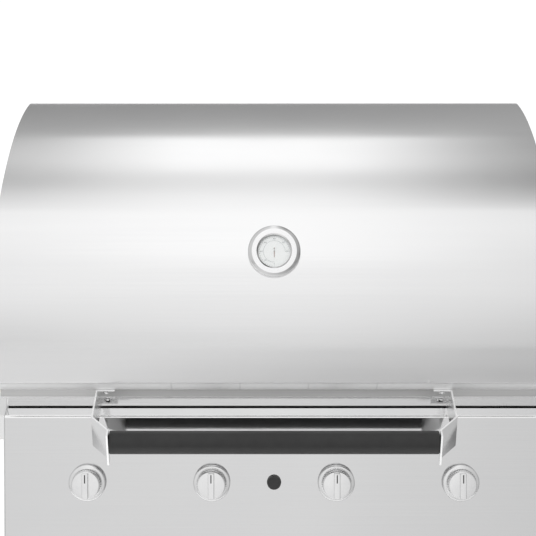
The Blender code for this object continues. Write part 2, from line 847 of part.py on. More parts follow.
def make_drip_tray():
    """The shallow tray under the firebox, its front plate and pull, and the rails it runs on."""
    floor = pan_sheet + rail_height + seat
    face = front_edge + panel_foot
    bm = bmesh.new()
    bmesh.ops.create_cube(bm, size=1)
    roof = max(bm.faces, key=lambda side: side.calc_center_median().z)
    bmesh.ops.delete(bm, geom=[roof], context="FACES_ONLY")
    low = Vector((-tray_half_width, face + tray_sheet / 2, floor))
    high = Vector((tray_half_width, front_edge + hood_rear - tray_rear_margin, floor + tray_height))
    bmesh.ops.scale(bm, vec=high - low, verts=bm.verts)
    bmesh.ops.translate(bm, vec=(high + low) / 2, verts=bm.verts)
    tray = mesh_from(bm, "drip_tray", **dull_steel)
    add_wall(tray, tray_sheet)
    low_z = tray_foot_gap + tray_sheet
    high_z = deck_height - panel_drop - tray_front_gap
    line = ((face - tray_pull, low_z + tray_pull / 2), (face - tray_pull, low_z), (face, low_z),
            (face, high_z))
    front = bent_sheet("tray_front", line, tray_sheet,
                       (-tray_front_half_width, tray_front_half_width))
    combine(tray, front, "UNION")
    attach(tray, carrier("tray_slide", (0, face, floor)))


def make_hood():
    """The hood's outer skin, its two end caps and its inner liner."""
    outline = hood_outline()
    skin = bent_sheet("hood_skin", world_line(outline), hood_sheet, (-half_width, half_width),
                      **steel)
    hole = rod("gauge_hole", gauge_origin - gauge_axis * gauge_stem_length,
               gauge_origin + gauge_axis * gauge_height, gauge_stem_radius + gauge_hole_margin)
    combine(skin, hole)
    attach(skin, hood_carrier)
    inner = inset_line(outline, hood_sheet + seat)
    closed = inner + [(inner[-1][0], hood_gap), (inner[0][0] + seat, hood_gap)]
    for name, side in (("left_hood_cap", -1), ("right_hood_cap", 1)):
        middle = side * (half_width - cap_sheet / 2)
        attach(side_plate(name, [world_line(closed)], middle, cap_sheet, **steel), hood_carrier)
    reach = half_width - cap_sheet - seat
    line = inset_line(outline[1:-1], liner_inset)
    line.append((line[-1][0], liner_rear_height))
    liner = bent_sheet("hood_liner", world_line(line), liner_sheet, (-reach, reach), **dull_steel)
    probe_hole = rod("probe_hole", gauge_origin - gauge_axis * gauge_probe_length,
                     gauge_origin, liner_hole_radius)
    combine(liner, probe_hole)
    attach(liner, hood_carrier)


def make_handle():
    """The black bar, the two bent straps that hold it, and the screws on the straps' tabs."""
    bar_y, bar_z = front_edge - bar_ahead, deck_height + bar_height
    bar = rod("handle_bar", (-bar_half_length, bar_y, bar_z), (bar_half_length, bar_y, bar_z),
              bar_radius, round_sides, **black_paint)
    attach(bar, hood_carrier)
    end_face = bar_half_length + seat + strap_sheet
    line = ((strap_outside, front_edge + lip_setback + overrun),
            (strap_outside, front_edge - strap_bend_ahead),
            (end_face, bar_y - strap_shoulder), (end_face, bar_y - strap_end_margin))
    strap = bent_sheet("right_handle_strap", line, strap_sheet,
                       (deck_height + strap_low, deck_height + strap_high), axis="Z", **steel)
    band_foot = place(0, lip_setback, hood_gap)
    inner = strap_outside - tab_width
    tab = block("strap_tab", (inner, tab_low, seat),
                (strap_outside - strap_sheet / 2, tab_high, seat + strap_sheet))
    combine(strap, stand_in(tab, band_foot, band_turn), "UNION")
    trim = block("strap_trim", (inner - overrun, -crease_height, -crease_height),
                 (strap_outside + overrun, crease_height * 2, seat))
    combine(strap, stand_in(trim, band_foot, band_turn))
    attach(strap, hood_carrier)
    attach(mirrored(strap, "left_handle_strap"), hood_carrier)
    profile = ((0, screw_head_height), (screw_head_radius / 2, screw_head_height),
               (screw_head_radius, screw_head_height / 2), (screw_head_radius, 0), (0, 0))
    places = [(side, along) for side in (-1, 1) for along in (lower_screw, upper_screw)]
    for index, (side, along) in enumerate(places, 1):
        head = turned(f"handle_screw_{index}", profile, small_sides, **steel)
        across = side * (strap_outside - screw_inset)
        spot = band_foot + band_up * along + band_out * (2 * seat + strap_sheet)
        attach(stand_in(head, spot + Vector((across, 0, 0)), band_turn), hood_carrier)


def make_thermometer():
    """The gauge on the hood: case and stem, dial, glass, nut, and a needle that turns."""
    lens_top = gauge_height - gauge_lip - seat
    dial_top = gauge_height - gauge_dial_depth
    floor = dial_top - gauge_dial_sheet - seat
    profile = ((0, floor), (gauge_cavity_radius, floor), (gauge_cavity_radius, lens_top + seat),
               (gauge_window_radius, lens_top + seat), (gauge_window_radius, gauge_height),
               (gauge_face_radius, gauge_height), (gauge_radius, gauge_height - gauge_edge),
               (gauge_radius, 0), (gauge_stem_radius, 0), (gauge_stem_radius, -gauge_stem_length),
               (gauge_probe_radius, -gauge_stem_length), (gauge_probe_radius, -gauge_probe_length),
               (0, -gauge_probe_length))
    case = turned("thermometer_case", profile, fine_sides, **chrome)
    room = gauge_cavity_radius - seat
    hole = needle_pin_radius + seat
    profile = ((room, dial_top), (room, floor + seat), (hole, floor + seat), (hole, dial_top))
    dial = turned("thermometer_dial", profile, fine_sides, closed=True, **white_card)
    profile = ((0, lens_top), (room, lens_top), (room, lens_top - gauge_lens_sheet),
               (0, lens_top - gauge_lens_sheet))
    lens = turned("thermometer_glass", profile, fine_sides, **clear_glass)
    bore = (gauge_stem_radius + seat) / math.cos(math.pi / nut_sides)
    profile = ((nut_radius, -nut_drop), (nut_radius, -nut_drop - nut_height),
               (bore, -nut_drop - nut_height), (bore, -nut_drop))
    nut = turned("thermometer_nut", profile, nut_sides, closed=True, **brass)
    for shape in (case, dial, lens, nut):
        attach(stand_in(shape, gauge_origin, gauge_turn), hood_carrier)
    low = dial_top + needle_lift
    profile = ((0, low + needle_hub_height), (needle_hub_radius, low + needle_hub_height),
               (needle_hub_radius, low), (needle_pin_radius, low),
               (needle_pin_radius, floor + seat), (0, floor + seat))
    needle = stand_in(turned("thermometer_needle", profile, small_sides, **red_paint),
                      gauge_origin, gauge_turn)
    blade = block("needle_blade", (-needle_width / 2, -needle_length, low + needle_sheet / 2),
                  (needle_width / 2, needle_tail, low + needle_sheet * 3 / 2))
    combine(needle, stand_in(blade, gauge_origin, gauge_turn), "UNION")
    attach(needle, carrier("needle_axis", gauge_origin, hood_carrier))


def knuckle_outline(way):
    """A hinge leaf's side outline: a strap on the rear face and a knuckle round the pin."""
    inner, outer = hood_rear + seat, hood_rear + seat + strap_leaf_sheet
    points = []
    for step in range(knuckle_steps + 1):
        angle = way * math.pi * (step / knuckle_steps - 1 / 2)
        points.append((pivot_back + knuckle_radius * math.cos(angle),
                       hinge_height + knuckle_radius * math.sin(angle)))
    points.append((outer, hinge_height + way * (knuckle_radius + strap_leaf_sheet)))
    points.append((outer, hinge_height + way * leaf_length))
    points.append((inner, hinge_height + way * leaf_length))
    points.append((inner, hinge_height - way * strap_leaf_sheet / 2))
    return world_line(points)


def make_hinges():
    """Two strap hinges on the rear: a bracket with its riveted pin on the rear panel, and a
    leaf on the hood that turns on the pin."""
    hole = circle(pivot.y, pivot.z, pin_radius + seat)
    offset = leaf_width / 2 + 2 * seat + cheek_width / 2
    reach = offset + cheek_width / 2 + pin_head
    for name, side in (("left", -1), ("right", 1)):
        middle = side * hinge_place
        leaf = side_plate(f"{name}_hinge_leaf", [knuckle_outline(1), hole], middle, leaf_width,
                          **dull_steel)
        attach(leaf, hood_carrier)
        shapes = [side_plate("cheek", [knuckle_outline(-1)], middle + way * offset,
                             cheek_width, **dull_steel) for way in (-1, 1)]
        low = place(middle - offset, hood_rear + seat, hinge_height - leaf_length)
        high = place(middle + offset, hood_rear + seat + strap_leaf_sheet,
                     hinge_height - knuckle_radius - strap_leaf_sheet)
        shapes.append(block("web", low, high))
        shapes.append(rod("pin", (middle - reach, pivot.y, pivot.z),
                          (middle + reach, pivot.y, pivot.z), pin_radius, small_sides))
        fused(f"{name}_hinge_bracket", shapes)


def make_bumpers():
    """Two rubber pads on the ledge that the closed hood's lip rests on."""
    for name, side in (("left", -1), ("right", 1)):
        x = side * half_width * bumper_place_share
        low = place(x - bumper_width / 2, lip_setback, seat)
        high = place(x + bumper_width / 2, lip_setback + bumper_width, hood_gap - seat)
        block(f"{name}_hood_bumper", low, high, **black_rubber)


# Frames that several pieces share
hood_carrier = carrier("hood_hinge_axis", pivot)
band_lean = math.atan2(lip_setback + crease_overhang, crease_height - hood_gap)
band_turn = math.pi / 2 + band_lean
band_up = Vector((0, -math.sin(band_lean), math.cos(band_lean)))
band_out = Vector((0, -math.cos(band_lean), -math.sin(band_lean)))
gauge_axis = Vector((0, -math.cos(gauge_tilt), math.sin(gauge_tilt)))
gauge_turn = math.pi / 2 - gauge_tilt
gauge_standoff = shoulder_radius * (1 - math.cos(gauge_place_tilt - gauge_tilt)) + seat
gauge_origin = place(0, *shoulder_point(gauge_place_tilt)) + gauge_axis * gauge_standoff
nut_slope = nut_radius * math.tan(gauge_place_tilt - gauge_tilt)
nut_drop = gauge_standoff + hood_sheet + nut_slope + 2 * seat
valve_middle = panel_place(0, control_setback, -panel_sheet - valve_gap - valve_length / 2)
manifold_z = valve_middle.z - manifold_drop
panel_foot = -panel_drop * math.tan(panel_tilt)
box_rear = hood_rear - box_rear_margin
pipe_side = (box_half_width + half_width) / 2 - pipe_radius

make_side_panels()
make_control_panel()
make_rear_panel()
make_bottom_pan()
make_firebox()
make_grates()
make_warming_rack()
make_burners()
make_flame_tamers()
make_electrodes()
make_gas_line()
make_valves()
make_igniter()
make_drip_tray()
make_hood()
make_handle()
make_thermometer()
make_hinges()
make_bumpers()
bpy.context.view_layer.update()
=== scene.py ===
import json
import math

import bmesh
import bpy
from mathutils import Matrix, Vector


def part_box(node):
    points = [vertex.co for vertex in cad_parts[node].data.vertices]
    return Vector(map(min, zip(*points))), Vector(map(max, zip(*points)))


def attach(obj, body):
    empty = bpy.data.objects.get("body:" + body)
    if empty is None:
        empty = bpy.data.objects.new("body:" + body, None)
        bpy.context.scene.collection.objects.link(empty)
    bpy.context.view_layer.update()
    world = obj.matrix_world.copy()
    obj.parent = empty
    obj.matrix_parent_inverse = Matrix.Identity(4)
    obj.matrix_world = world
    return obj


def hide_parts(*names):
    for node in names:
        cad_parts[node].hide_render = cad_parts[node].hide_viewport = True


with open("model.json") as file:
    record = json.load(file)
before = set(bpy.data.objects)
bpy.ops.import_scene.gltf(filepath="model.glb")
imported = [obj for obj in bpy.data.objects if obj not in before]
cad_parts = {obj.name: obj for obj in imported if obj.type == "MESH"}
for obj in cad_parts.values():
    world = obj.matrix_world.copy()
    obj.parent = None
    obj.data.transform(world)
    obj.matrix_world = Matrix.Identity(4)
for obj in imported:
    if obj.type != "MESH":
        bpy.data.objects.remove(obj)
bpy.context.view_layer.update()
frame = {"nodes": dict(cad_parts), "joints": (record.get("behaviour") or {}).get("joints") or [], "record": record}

# Studio
# A plain pale floor under a soft white dome, and a camera in front of the grill, about 28 degrees
# above it. The dome is dim behind the grill and has one long soft box over the hood. Its levels are
# set against the height of a direction, from the front horizon over the top to the rear one.
image_size = 536
view_shift_pixels = -1.2
lens_mm = 100.75
film_mm = 36
camera_spot = (-0.007, -1.99855, 1.4107)
camera_lean = math.radians(62.12)
floor_reach = 9
floor_grey = 0.74
floor_glow = 0.54
floor_roughness_share = 0.8
floor_shine_share = 0.1
# The floor's sheen is a painted glow seen only in reflections, and its dusk is a painted shade towards the right.
near_sheen = ((0.0, 0.27), (0.3, 0.27), (0.5, 0.54), (0.95, 0.52))
far_sheen = ((4.2, 0.24), (9.0, 0.28))
floor_sheen_left = (*near_sheen, (1.25, 0.10), (1.8, 0.10), (2.6, 0.15), *far_sheen)
floor_sheen_right = (*near_sheen, (1.25, 0.00), (1.8, 0.02), (2.6, 0.13), *far_sheen)
floor_sides = (-0.7, 0.3)
floor_dusk = 0.55
floor_dusk_reach = (-0.5, 2.2)
dome_reach = 180
dome_middle = ((0, 0.80), (5, 0.88), (14, 0.95), (22, 0.99), (39, 1.01), (60, 1.12), (104, 1.12),
               (114, 1.09), (119, 1.03), (124, 0.89), (128, 0.90), (132, 1.10), (136, 1.16),
               (148.2, 1.14), (151.4, 0.60), (157, 0.46), (163, 0.395), (170, 0.355), (180, 0.32))
dome_side = ((0, 0.80), (6, 0.88), (14, 1.00), (32, 1.03), (50, 1.03), (90, 1.10), (111, 1.06),
             (117, 0.88), (121, 0.74), (124, 0.61), (128, 0.58), (132, 0.62), (136, 0.67),
             (141, 0.63), (146, 0.57), (152, 0.44), (160, 0.40), (170, 0.36), (180, 0.32))
box_edge_shares = (0.05, 0.19)
right_flag_shares = (0.03, 0.38)
right_flag_levels = ((0, 0.62), (113, 0.66), (119, 0.18), (145, 0.18), (154, 0.95), (180, 1.25))
left_flag_shares = (0.05, 0.60)
left_flag_level = 0.70
far_flag_levels = ((0, 1.0), (0.5, 1.0), (0.8, 0.72), (0.93, 0.62), (0.985, 0.07), (1, 0.05))
lamp_spot = (-1.3, -1.6, 2.6)
lamp_size = 1.8
lamp_watts = 22

scene = bpy.context.scene
scene.view_settings.view_transform = "Standard"


def linked(name, data):
    """A new object in the scene."""
    thing = bpy.data.objects.new(name, data)
    scene.collection.objects.link(thing)
    return thing


camera_data = bpy.data.cameras.new("camera")
camera_data.lens = lens_mm
camera_data.sensor_width = film_mm
camera_data.shift_x = view_shift_pixels / image_size
camera = linked("camera", camera_data)
camera.location = camera_spot
camera.rotation_euler.x = camera_lean
scene.camera = camera


def add_node(tree, kind, values=None, **settings):
    """A node with its settings, and its inputs set from values or linked from sockets."""
    node = tree.nodes.new(kind)
    for setting, value in settings.items():
        setattr(node, setting, value)
    for label, value in (values or {}).items():
        if isinstance(value, bpy.types.NodeSocket):
            tree.links.new(value, node.inputs[label])
        else:
            node.inputs[label].default_value = value
    return node


def math_node(tree, operation, first, second=0.0):
    """The result socket of one sum."""
    return add_node(tree, "ShaderNodeMath", {0: first, 1: second}, operation=operation).outputs[0]


def product(tree, first, *others):
    """The result socket of a product."""
    for other in others:
        first = math_node(tree, "MULTIPLY", first, other)
    return first


def remap(tree, value, low, high, new_low=0.0, new_high=1.0, kind="SMOOTHSTEP"):
    """A value moved from one range into another, with soft ends."""
    ranges = {"Value": value, "From Min": low, "From Max": high, "To Min": new_low, "To Max": new_high}
    return add_node(tree, "ShaderNodeMapRange", ranges, interpolation_type=kind).outputs["Result"]


def mixed(tree, share, first, second, kind="MIX"):
    """The socket of a colour mixed from two by a share."""
    values = {"Factor": share, 6: first, 7: second}
    return add_node(tree, "ShaderNodeMix", values, data_type="RGBA", blend_type=kind).outputs[2]


def as_colour(tone):
    """A colour from one grey level or from three levels."""
    return (*tone, 1) if isinstance(tone, tuple) else (tone, tone, tone, 1)


def grey_ramp(tree, share, stops, full):
    """A grey that follows a share, from stops at places between zero and the full one."""
    ramp = add_node(tree, "ShaderNodeValToRGB", {"Fac": share})
    marks = ramp.color_ramp.elements
    while len(marks) < len(stops):
        marks.new(1)
    for mark, (place, level) in zip(marks, stops):
        mark.position = place / full
        mark.color = as_colour(level)
    return ramp.outputs["Color"]


def axes_of(tree, source="Object"):
    """The X, Y and Z sockets of a place on an object, or of a direction in the sky."""
    place = add_node(tree, "ShaderNodeTexCoord").outputs[source]
    return add_node(tree, "ShaderNodeSeparateXYZ", {0: place}).outputs


def new_finish(name, values):
    """A material with plain values on its shader, its node tree and the shader's inputs."""
    finish = bpy.data.materials.new(name)
    finish.use_nodes = True
    shader = finish.node_tree.nodes["Principled BSDF"].inputs
    for label, value in values.items():
        shader[label].default_value = value
    return finish, finish.node_tree, shader


world = bpy.data.worlds.new("soft_dome")
world.use_nodes = True
scene.world = world
sky = world.node_tree
sky.nodes.clear()
toward = axes_of(sky, "Generated")
ahead = product(sky, toward["Y"], -1.0)
height_turn = math_node(sky, "ABSOLUTE", math_node(sky, "ARCTAN2", toward["Z"], ahead))
turn_share = remap(sky, height_turn, 0.0, math.pi, kind="LINEAR")
off_middle = remap(sky, math_node(sky, "ABSOLUTE", toward["X"]), *box_edge_shares)
grey = mixed(sky, off_middle, *[grey_ramp(sky, turn_share, stops, dome_reach)
                                for stops in (dome_middle, dome_side)])
right_level = grey_ramp(sky, turn_share, right_flag_levels, dome_reach)
right_flag = remap(sky, toward["X"], *right_flag_shares, 1.0, right_level, "LINEAR")
leftward = product(sky, toward["X"], -1.0)
left_flag = remap(sky, leftward, *left_flag_shares, 1.0, left_flag_level, "LINEAR")
far_flag = grey_ramp(sky, toward["X"], far_flag_levels, 1)
flag = product(sky, right_flag, left_flag, far_flag)
dome_light = add_node(sky, "ShaderNodeBackground", {"Color": grey, "Strength": flag})
white = add_node(sky, "ShaderNodeBackground", {"Color": as_colour(1), "Strength": 1.0})
seen = add_node(sky, "ShaderNodeLightPath").outputs["Is Camera Ray"]
chosen = add_node(sky, "ShaderNodeMixShader", {0: seen, 1: dome_light.outputs[0], 2: white.outputs[0]})
add_node(sky, "ShaderNodeOutputWorld", {"Surface": chosen.outputs[0]})

floor_mesh = bpy.data.meshes.new("floor")
corners = [(x * floor_reach, y * floor_reach, 0) for x, y in ((-1, -1), (1, -1), (1, 1), (-1, 1))]
floor_mesh.from_pydata(corners, [], [(0, 1, 2, 3)])
floor_values = {"Roughness": floor_roughness_share, "Specular IOR Level": floor_shine_share,
                "Emission Color": as_colour(1)}
floor_finish, floor_tree, floor_shader = new_finish("pale_floor", floor_values)
rays = add_node(floor_tree, "ShaderNodeLightPath").outputs
floor_spot = axes_of(floor_tree)
# For reflected rays only, the floor's grey fades towards the right as painted shade, and the floor glows by
# distance and side as painted light.
dusk = remap(floor_tree, floor_spot["X"], *floor_dusk_reach, 0.0, 1.0 - floor_dusk, "LINEAR")
shade = math_node(floor_tree, "SUBTRACT", 1.0, product(floor_tree, dusk, rays["Is Glossy Ray"]))
floor_tree.links.new(product(floor_tree, shade, floor_grey), floor_shader["Base Color"])
ahead_share = remap(floor_tree, floor_spot["Y"], 0.0, -floor_reach, kind="LINEAR")
to_right = remap(floor_tree, floor_spot["X"], *floor_sides)
sheen = mixed(floor_tree, to_right, *[grey_ramp(floor_tree, ahead_share, stops, floor_reach)
                                      for stops in (floor_sheen_left, floor_sheen_right)])
mirrored = product(floor_tree, sheen, shade, rays["Is Glossy Ray"])
pictured = product(floor_tree, rays["Is Camera Ray"], floor_glow)
floor_tree.links.new(math_node(floor_tree, "ADD", mirrored, pictured), floor_shader["Emission Strength"])
floor_mesh.materials.append(floor_finish)
floor = linked("floor", floor_mesh)

lamp_data = bpy.data.lights.new("soft_lamp", "AREA")
lamp_data.size = lamp_size
lamp_data.energy = lamp_watts
lamp = linked("soft_lamp", lamp_data)
lamp.location = lamp_spot
lamp.rotation_euler = (-Vector(lamp_spot)).to_track_quat("-Z", "Y").to_euler()
lamp.visible_glossy = False

# Hood skin
# One sheet of brushed stainless steel, folded under at the front, rolled in four arcs over the
# food and bent down at the rear. It is the grill's main form and is made here as a swept outline.
# Places are measured back from the front edge of the ledge below it and up from the ledge.
hood_sheet = 0.0012
hood_gap = 0.0017
lip_setback = 0.0231
crease_overhang = 0.0343
crease_height = 0.0781
crease_radius = 0.0006
front_tilt = math.radians(9.0)
hood_arcs = ((0.567, math.radians(21.8), 21), (0.157, math.radians(69.6), 22),
             (0.609, math.radians(101.9), 57), (0.060, math.pi, 16))
rear_wall_height = 0.0160
straight_turn = math.radians(175)
bend_steps = 6
sheet_corner = 60
sharp_corner = 30
smooth_corner = 38
round_profile_share = 0.5
round_sides = 48
hole_sides = 32
merge_gap = 0.00001
steel_tones = ((0.84, 0.84, 0.845), 0.875)
steel_gloss_shares = (0.10, 0.15)
cross_grain = (3.0, 900.0, 900.0)
side_grain = (900.0, 3.0, 900.0)
even_grain = (60.0, 60.0, 60.0)
grain_relief = 0.00002
grain_detail = 4.0
grain_roughness_share = 0.65
grain_tone_shares = (0.25, 0.75)
cloud_scale = 7.0
cloud_detail = 3.0
cloud_tone_share = 0.35
cloud_shares = (0.3, 0.7)
bump_share = 0.6
# The band's tones are lighter than the skin's own steel: painted light.
band_lit_tones = (0.93, 0.96)
band_gloss_shares = (0.05, 0.42)
band_matt_heights = (0.022, 0.036)
crease_shade_depths = (0.0050, 0.0030)
crease_shade_share = 0.82
stripe_pitch = 0.0967
stripe_width = 0.0042
stripe_reach = 0.19
stripe_foot = 0.034
stripe_fade = 0.004
stripe_tone_share = 0.86
gauge_tilt = math.radians(37.0)
gauge_hole_radius = 0.0056
hole_reach = 0.040


def hood_line():
    """Outer side outline of the hood skin from the lip to the foot of the rear wall."""
    y, z = -crease_overhang, crease_height
    line = [(lip_setback, hood_gap), (y, z)]
    tilt = front_tilt
    for radius, end_tilt, steps in hood_arcs:
        middle_y = y + radius * math.cos(tilt)
        middle_z = z - radius * math.sin(tilt)
        for step in range(1, steps + 1):
            angle = tilt + (end_tilt - tilt) * step / steps
            y = middle_y - radius * math.cos(angle)
            z = middle_z + radius * math.sin(angle)
            line.append((y, z))
        tilt = end_tilt
    line.append((y, rear_wall_height))
    return line


def rounded(line, radius, steps=bend_steps):
    """An open line with a bend of that radius at each corner sharper than five degrees."""
    done = [line[0]]
    for before, corner, after in zip(line, line[1:], line[2:]):
        back = (Vector(before) - Vector(corner)).normalized()
        forth = (Vector(after) - Vector(corner)).normalized()
        opening = back.angle(forth)
        if opening > straight_turn:
            done.append(corner)
            continue
        reach = radius / math.tan(opening / 2)
        middle = Vector(corner) + (back + forth).normalized() * (radius / math.sin(opening / 2))
        first = Vector(corner) + back * reach - middle
        swing = first.angle_signed(Vector(corner) + forth * reach - middle)
        for step in range(steps + 1):
            done.append(tuple(middle + Matrix.Rotation(-swing * step / steps, 2) @ first))
    done.append(line[-1])
    return done


def inset(line, distance):
    """An open line moved to its inner side, with mitred corners."""
    normals = []
    for start, end in zip(line, line[1:]):
        length = math.dist(start, end)
        normals.append(((end[1] - start[1]) / length, -(end[0] - start[0]) / length))
    moved = []
    for (y, z), before, after in zip(line, normals[:1] + normals, normals + normals[-1:]):
        reach = distance / (1 + before[0] * after[0] + before[1] * after[1])
        moved.append((y + reach * (before[0] + after[0]), z + reach * (before[1] + after[1])))
    return moved


def new_tree(name, kind, inputs, outputs):
    """A node group with named sockets, and its input and output nodes."""
    tree = bpy.data.node_groups.new(name, kind)
    for in_out, sockets in (("INPUT", inputs), ("OUTPUT", outputs)):
        for label, socket in sockets.items():
            tree.interface.new_socket(label, in_out=in_out, socket_type="NodeSocket" + socket)
    return tree, tree.nodes.new("NodeGroupInput").outputs, tree.nodes.new("NodeGroupOutput").inputs


def ended(tree, geometry, finish, end):
    """Ends a geometry tree with its instances made real and given their material."""
    whole = add_node(tree, "GeometryNodeRealizeInstances", {"Geometry": geometry}).outputs[0]
    coated = add_node(tree, "GeometryNodeSetMaterial", {"Geometry": whole, "Material": finish})
    tree.links.new(coated.outputs[0], end)


def as_mesh(bm, name="passing"):
    """A plain mesh from a finished shape."""
    mesh = bpy.data.meshes.new(name)
    bm.to_mesh(mesh)
    bm.free()
    return mesh


def as_shape(mesh):
    """A shape that can be worked on, from a plain mesh."""
    bm = bmesh.new()
    bm.from_mesh(mesh)
    return bm


def settled(thing):
    """The plain mesh that an object has after its modifiers."""
    bpy.context.view_layer.update()
    return bpy.data.meshes.new_from_object(thing.evaluated_get(bpy.context.evaluated_depsgraph_get()))


def grown(shape, tree, values):
    """The shape that a geometry node tree makes from another one and its named values."""
    thing = linked("passing", as_mesh(shape))
    modifier = thing.modifiers.new("growth", "NODES")
    modifier.node_group = tree
    for item in tree.interface.items_tree:
        if item.in_out == "INPUT" and item.name in values:
            modifier[item.identifier] = values[item.name]
    made = settled(thing)
    thing.modifiers.remove(modifier)
    bpy.data.objects.remove(thing)
    return as_shape(made)


def dressed(name, shape, finish, body, nodes, smooth=smooth_corner):
    """A finished piece: smooth up to an angle, with its finishes and body, and its CAD nodes hidden."""
    mesh = as_mesh(shape, name)
    for layer in finish if isinstance(finish, list) else [finish]:
        mesh.materials.append(layer)
    mesh.shade_smooth()
    mesh.set_sharp_from_angle(angle=math.radians(smooth))
    piece = linked(name, mesh)
    even = piece.modifiers.new("even_shading", "WEIGHTED_NORMAL")
    even.keep_sharp = True
    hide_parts(*nodes)
    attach(piece, body)
    return piece


def rolled(outline, low_x, high_x):
    """A closed outline of Y and Z places, swept across the grill between two places."""
    flat = bmesh.new()
    flat.faces.new([flat.verts.new((low_x, y, z)) for y, z in outline])
    sheet = grown(flat, sweep_tree, {"Width": high_x - low_x})
    bmesh.ops.recalc_face_normals(sheet, faces=sheet.faces)
    return sheet


def softened(bm, width, steps=2, sharper=sharp_corner):
    """Rounds every edge that is sharper than an angle, by a small width."""
    bm.normal_update()
    edges = [edge for edge in bm.edges
             if len(edge.link_faces) == 2 and edge.calc_face_angle() > math.radians(sharper)]
    bmesh.ops.bevel(bm, geom=edges, offset=width, segments=steps, profile=round_profile_share,
                    affect="EDGES", clamp_overlap=True)
    return bm


def drum(radius, top, foot=0):
    """The profile of a plain round block."""
    return (0, top), (radius, top), (radius, foot), (0, foot)


def turned(profile, sides=round_sides):
    """A solid turned about its own Z axis from (radius, height) points, top to bottom."""
    bm = bmesh.new()
    rings = []
    turns = [math.tau * side / sides for side in range(sides)]
    for radius, height in profile:
        if radius:
            rings.append([bm.verts.new((radius * math.cos(turn), radius * math.sin(turn), height))
                          for turn in turns])
        else:
            rings.append([bm.verts.new((0, 0, height))] * sides)
    for upper, lower in zip(rings, rings[1:]):
        for side in range(sides):
            after = (side + 1) % sides
            corners = [upper[side], lower[side], lower[after], upper[after]]
            bm.faces.new(list(dict.fromkeys(corners)))
    bmesh.ops.recalc_face_normals(bm, faces=bm.faces)
    return bm


def stood(bm, spot, turn=0.0, axis="X"):
    """A shape turned about an axis and moved to its place."""
    bm.transform(Matrix.Translation(spot) @ Matrix.Rotation(turn, 4, axis))
    return bm


def cut(bm, cutters):
    """The shape with each cutter's space taken out of it."""
    things = [linked("passing", as_mesh(shape)) for shape in (bm, *cutters)]
    for cutter in things[1:]:
        modifier = things[0].modifiers.new("cut", "BOOLEAN")
        modifier.object = cutter
        modifier.operation = "DIFFERENCE"
    mesh = settled(things[0])
    for thing in things:
        bpy.data.objects.remove(thing)
    return as_shape(mesh)


def bored(bm, holes):
    """The shape with round holes through it, each given by a radius, a middle and a turn about X."""
    return cut(bm, [stood(turned(drum(radius, hole_reach, -hole_reach), hole_sides), spot, turn)
                    for radius, spot, turn in holes])


def slots_by(piece, finishes, rule):
    """Gives a piece further finishes, and each face the one whose number a rule says."""
    for finish in finishes:
        piece.data.materials.append(finish)
    for face in piece.data.polygons:
        face.material_index = int(rule(face))


def toned(finish, mask, share):
    """Darkens a finish to a share of its tone where a mask is one."""
    tree = finish.node_tree
    base = tree.nodes["Principled BSDF"].inputs["Base Color"]
    tree.links.new(mixed(tree, mask, base.links[0].from_socket, as_colour(share), "MULTIPLY"), base)


sweep_tree, given, result = new_tree("rolled_sheet", "GeometryNodeTree", {
    "Outline": "Geometry", "Width": "Float", "Finish": "Material"}, {"Sheet": "Geometry"})
across = add_node(sweep_tree, "ShaderNodeCombineXYZ", {"X": given["Width"]})
drawn = add_node(sweep_tree, "GeometryNodeExtrudeMesh",
                 {"Mesh": given["Outline"], "Offset": across.outputs[0], "Offset Scale": 1.0,
                  "Individual": False})
closed = add_node(sweep_tree, "GeometryNodeJoinGeometry")
sweep_tree.links.new(drawn.outputs["Mesh"], closed.inputs[0])
sweep_tree.links.new(given["Outline"], closed.inputs[0])
joined = add_node(sweep_tree, "GeometryNodeMergeByDistance",
                  {"Geometry": closed.outputs[0], "Distance": merge_gap})
ended(sweep_tree, joined.outputs[0], given["Finish"], result["Sheet"])

grain_tree, given, result = new_tree("brushed_grain", "ShaderNodeTree", {"Scale": "Vector"}, {
    "Tone": "Float", "Haze": "Float", "Relief": "Float"})
spot = add_node(grain_tree, "ShaderNodeTexCoord").outputs["Object"]
stretched = add_node(grain_tree, "ShaderNodeVectorMath", {0: spot, 1: given["Scale"]}, operation="MULTIPLY")
streaks = add_node(grain_tree, "ShaderNodeTexNoise",
                   {"Vector": stretched.outputs[0], "Scale": 1.0, "Detail": grain_detail,
                    "Roughness": grain_roughness_share}).outputs["Fac"]
clouds = add_node(grain_tree, "ShaderNodeTexNoise",
                  {"Vector": spot, "Scale": cloud_scale, "Detail": cloud_detail}).outputs["Fac"]
cloud_tone = product(grain_tree, clouds, cloud_tone_share)
streak_tone = product(grain_tree, streaks, 1.0 - cloud_tone_share)
grain_tree.links.new(math_node(grain_tree, "ADD", streak_tone, cloud_tone), result["Tone"])
grain_tree.links.new(remap(grain_tree, clouds, *cloud_shares), result["Haze"])
grain_tree.links.new(streaks, result["Relief"])


def metal(name, tones, gloss, grain=even_grain, relief=grain_relief, metallic=1.0):
    """A brushed finish whose tone, roughness and relief follow one stretched grain."""
    finish, tree, shader = new_finish(name, {"Metallic": metallic})
    brushed = tree.nodes.new("ShaderNodeGroup")
    brushed.node_tree = grain_tree
    brushed.inputs["Scale"].default_value = grain
    tone = remap(tree, brushed.outputs["Tone"], *grain_tone_shares)
    bumps = {"Height": brushed.outputs["Relief"], "Distance": relief, "Strength": bump_share}
    for label, socket in (("Base Color", mixed(tree, tone, *map(as_colour, tones))),
                          ("Roughness", remap(tree, brushed.outputs["Haze"], 0.0, 1.0, *gloss, "LINEAR")),
                          ("Normal", add_node(tree, "ShaderNodeBump", bumps).outputs["Normal"])):
        tree.links.new(socket, shader[label])
    return finish


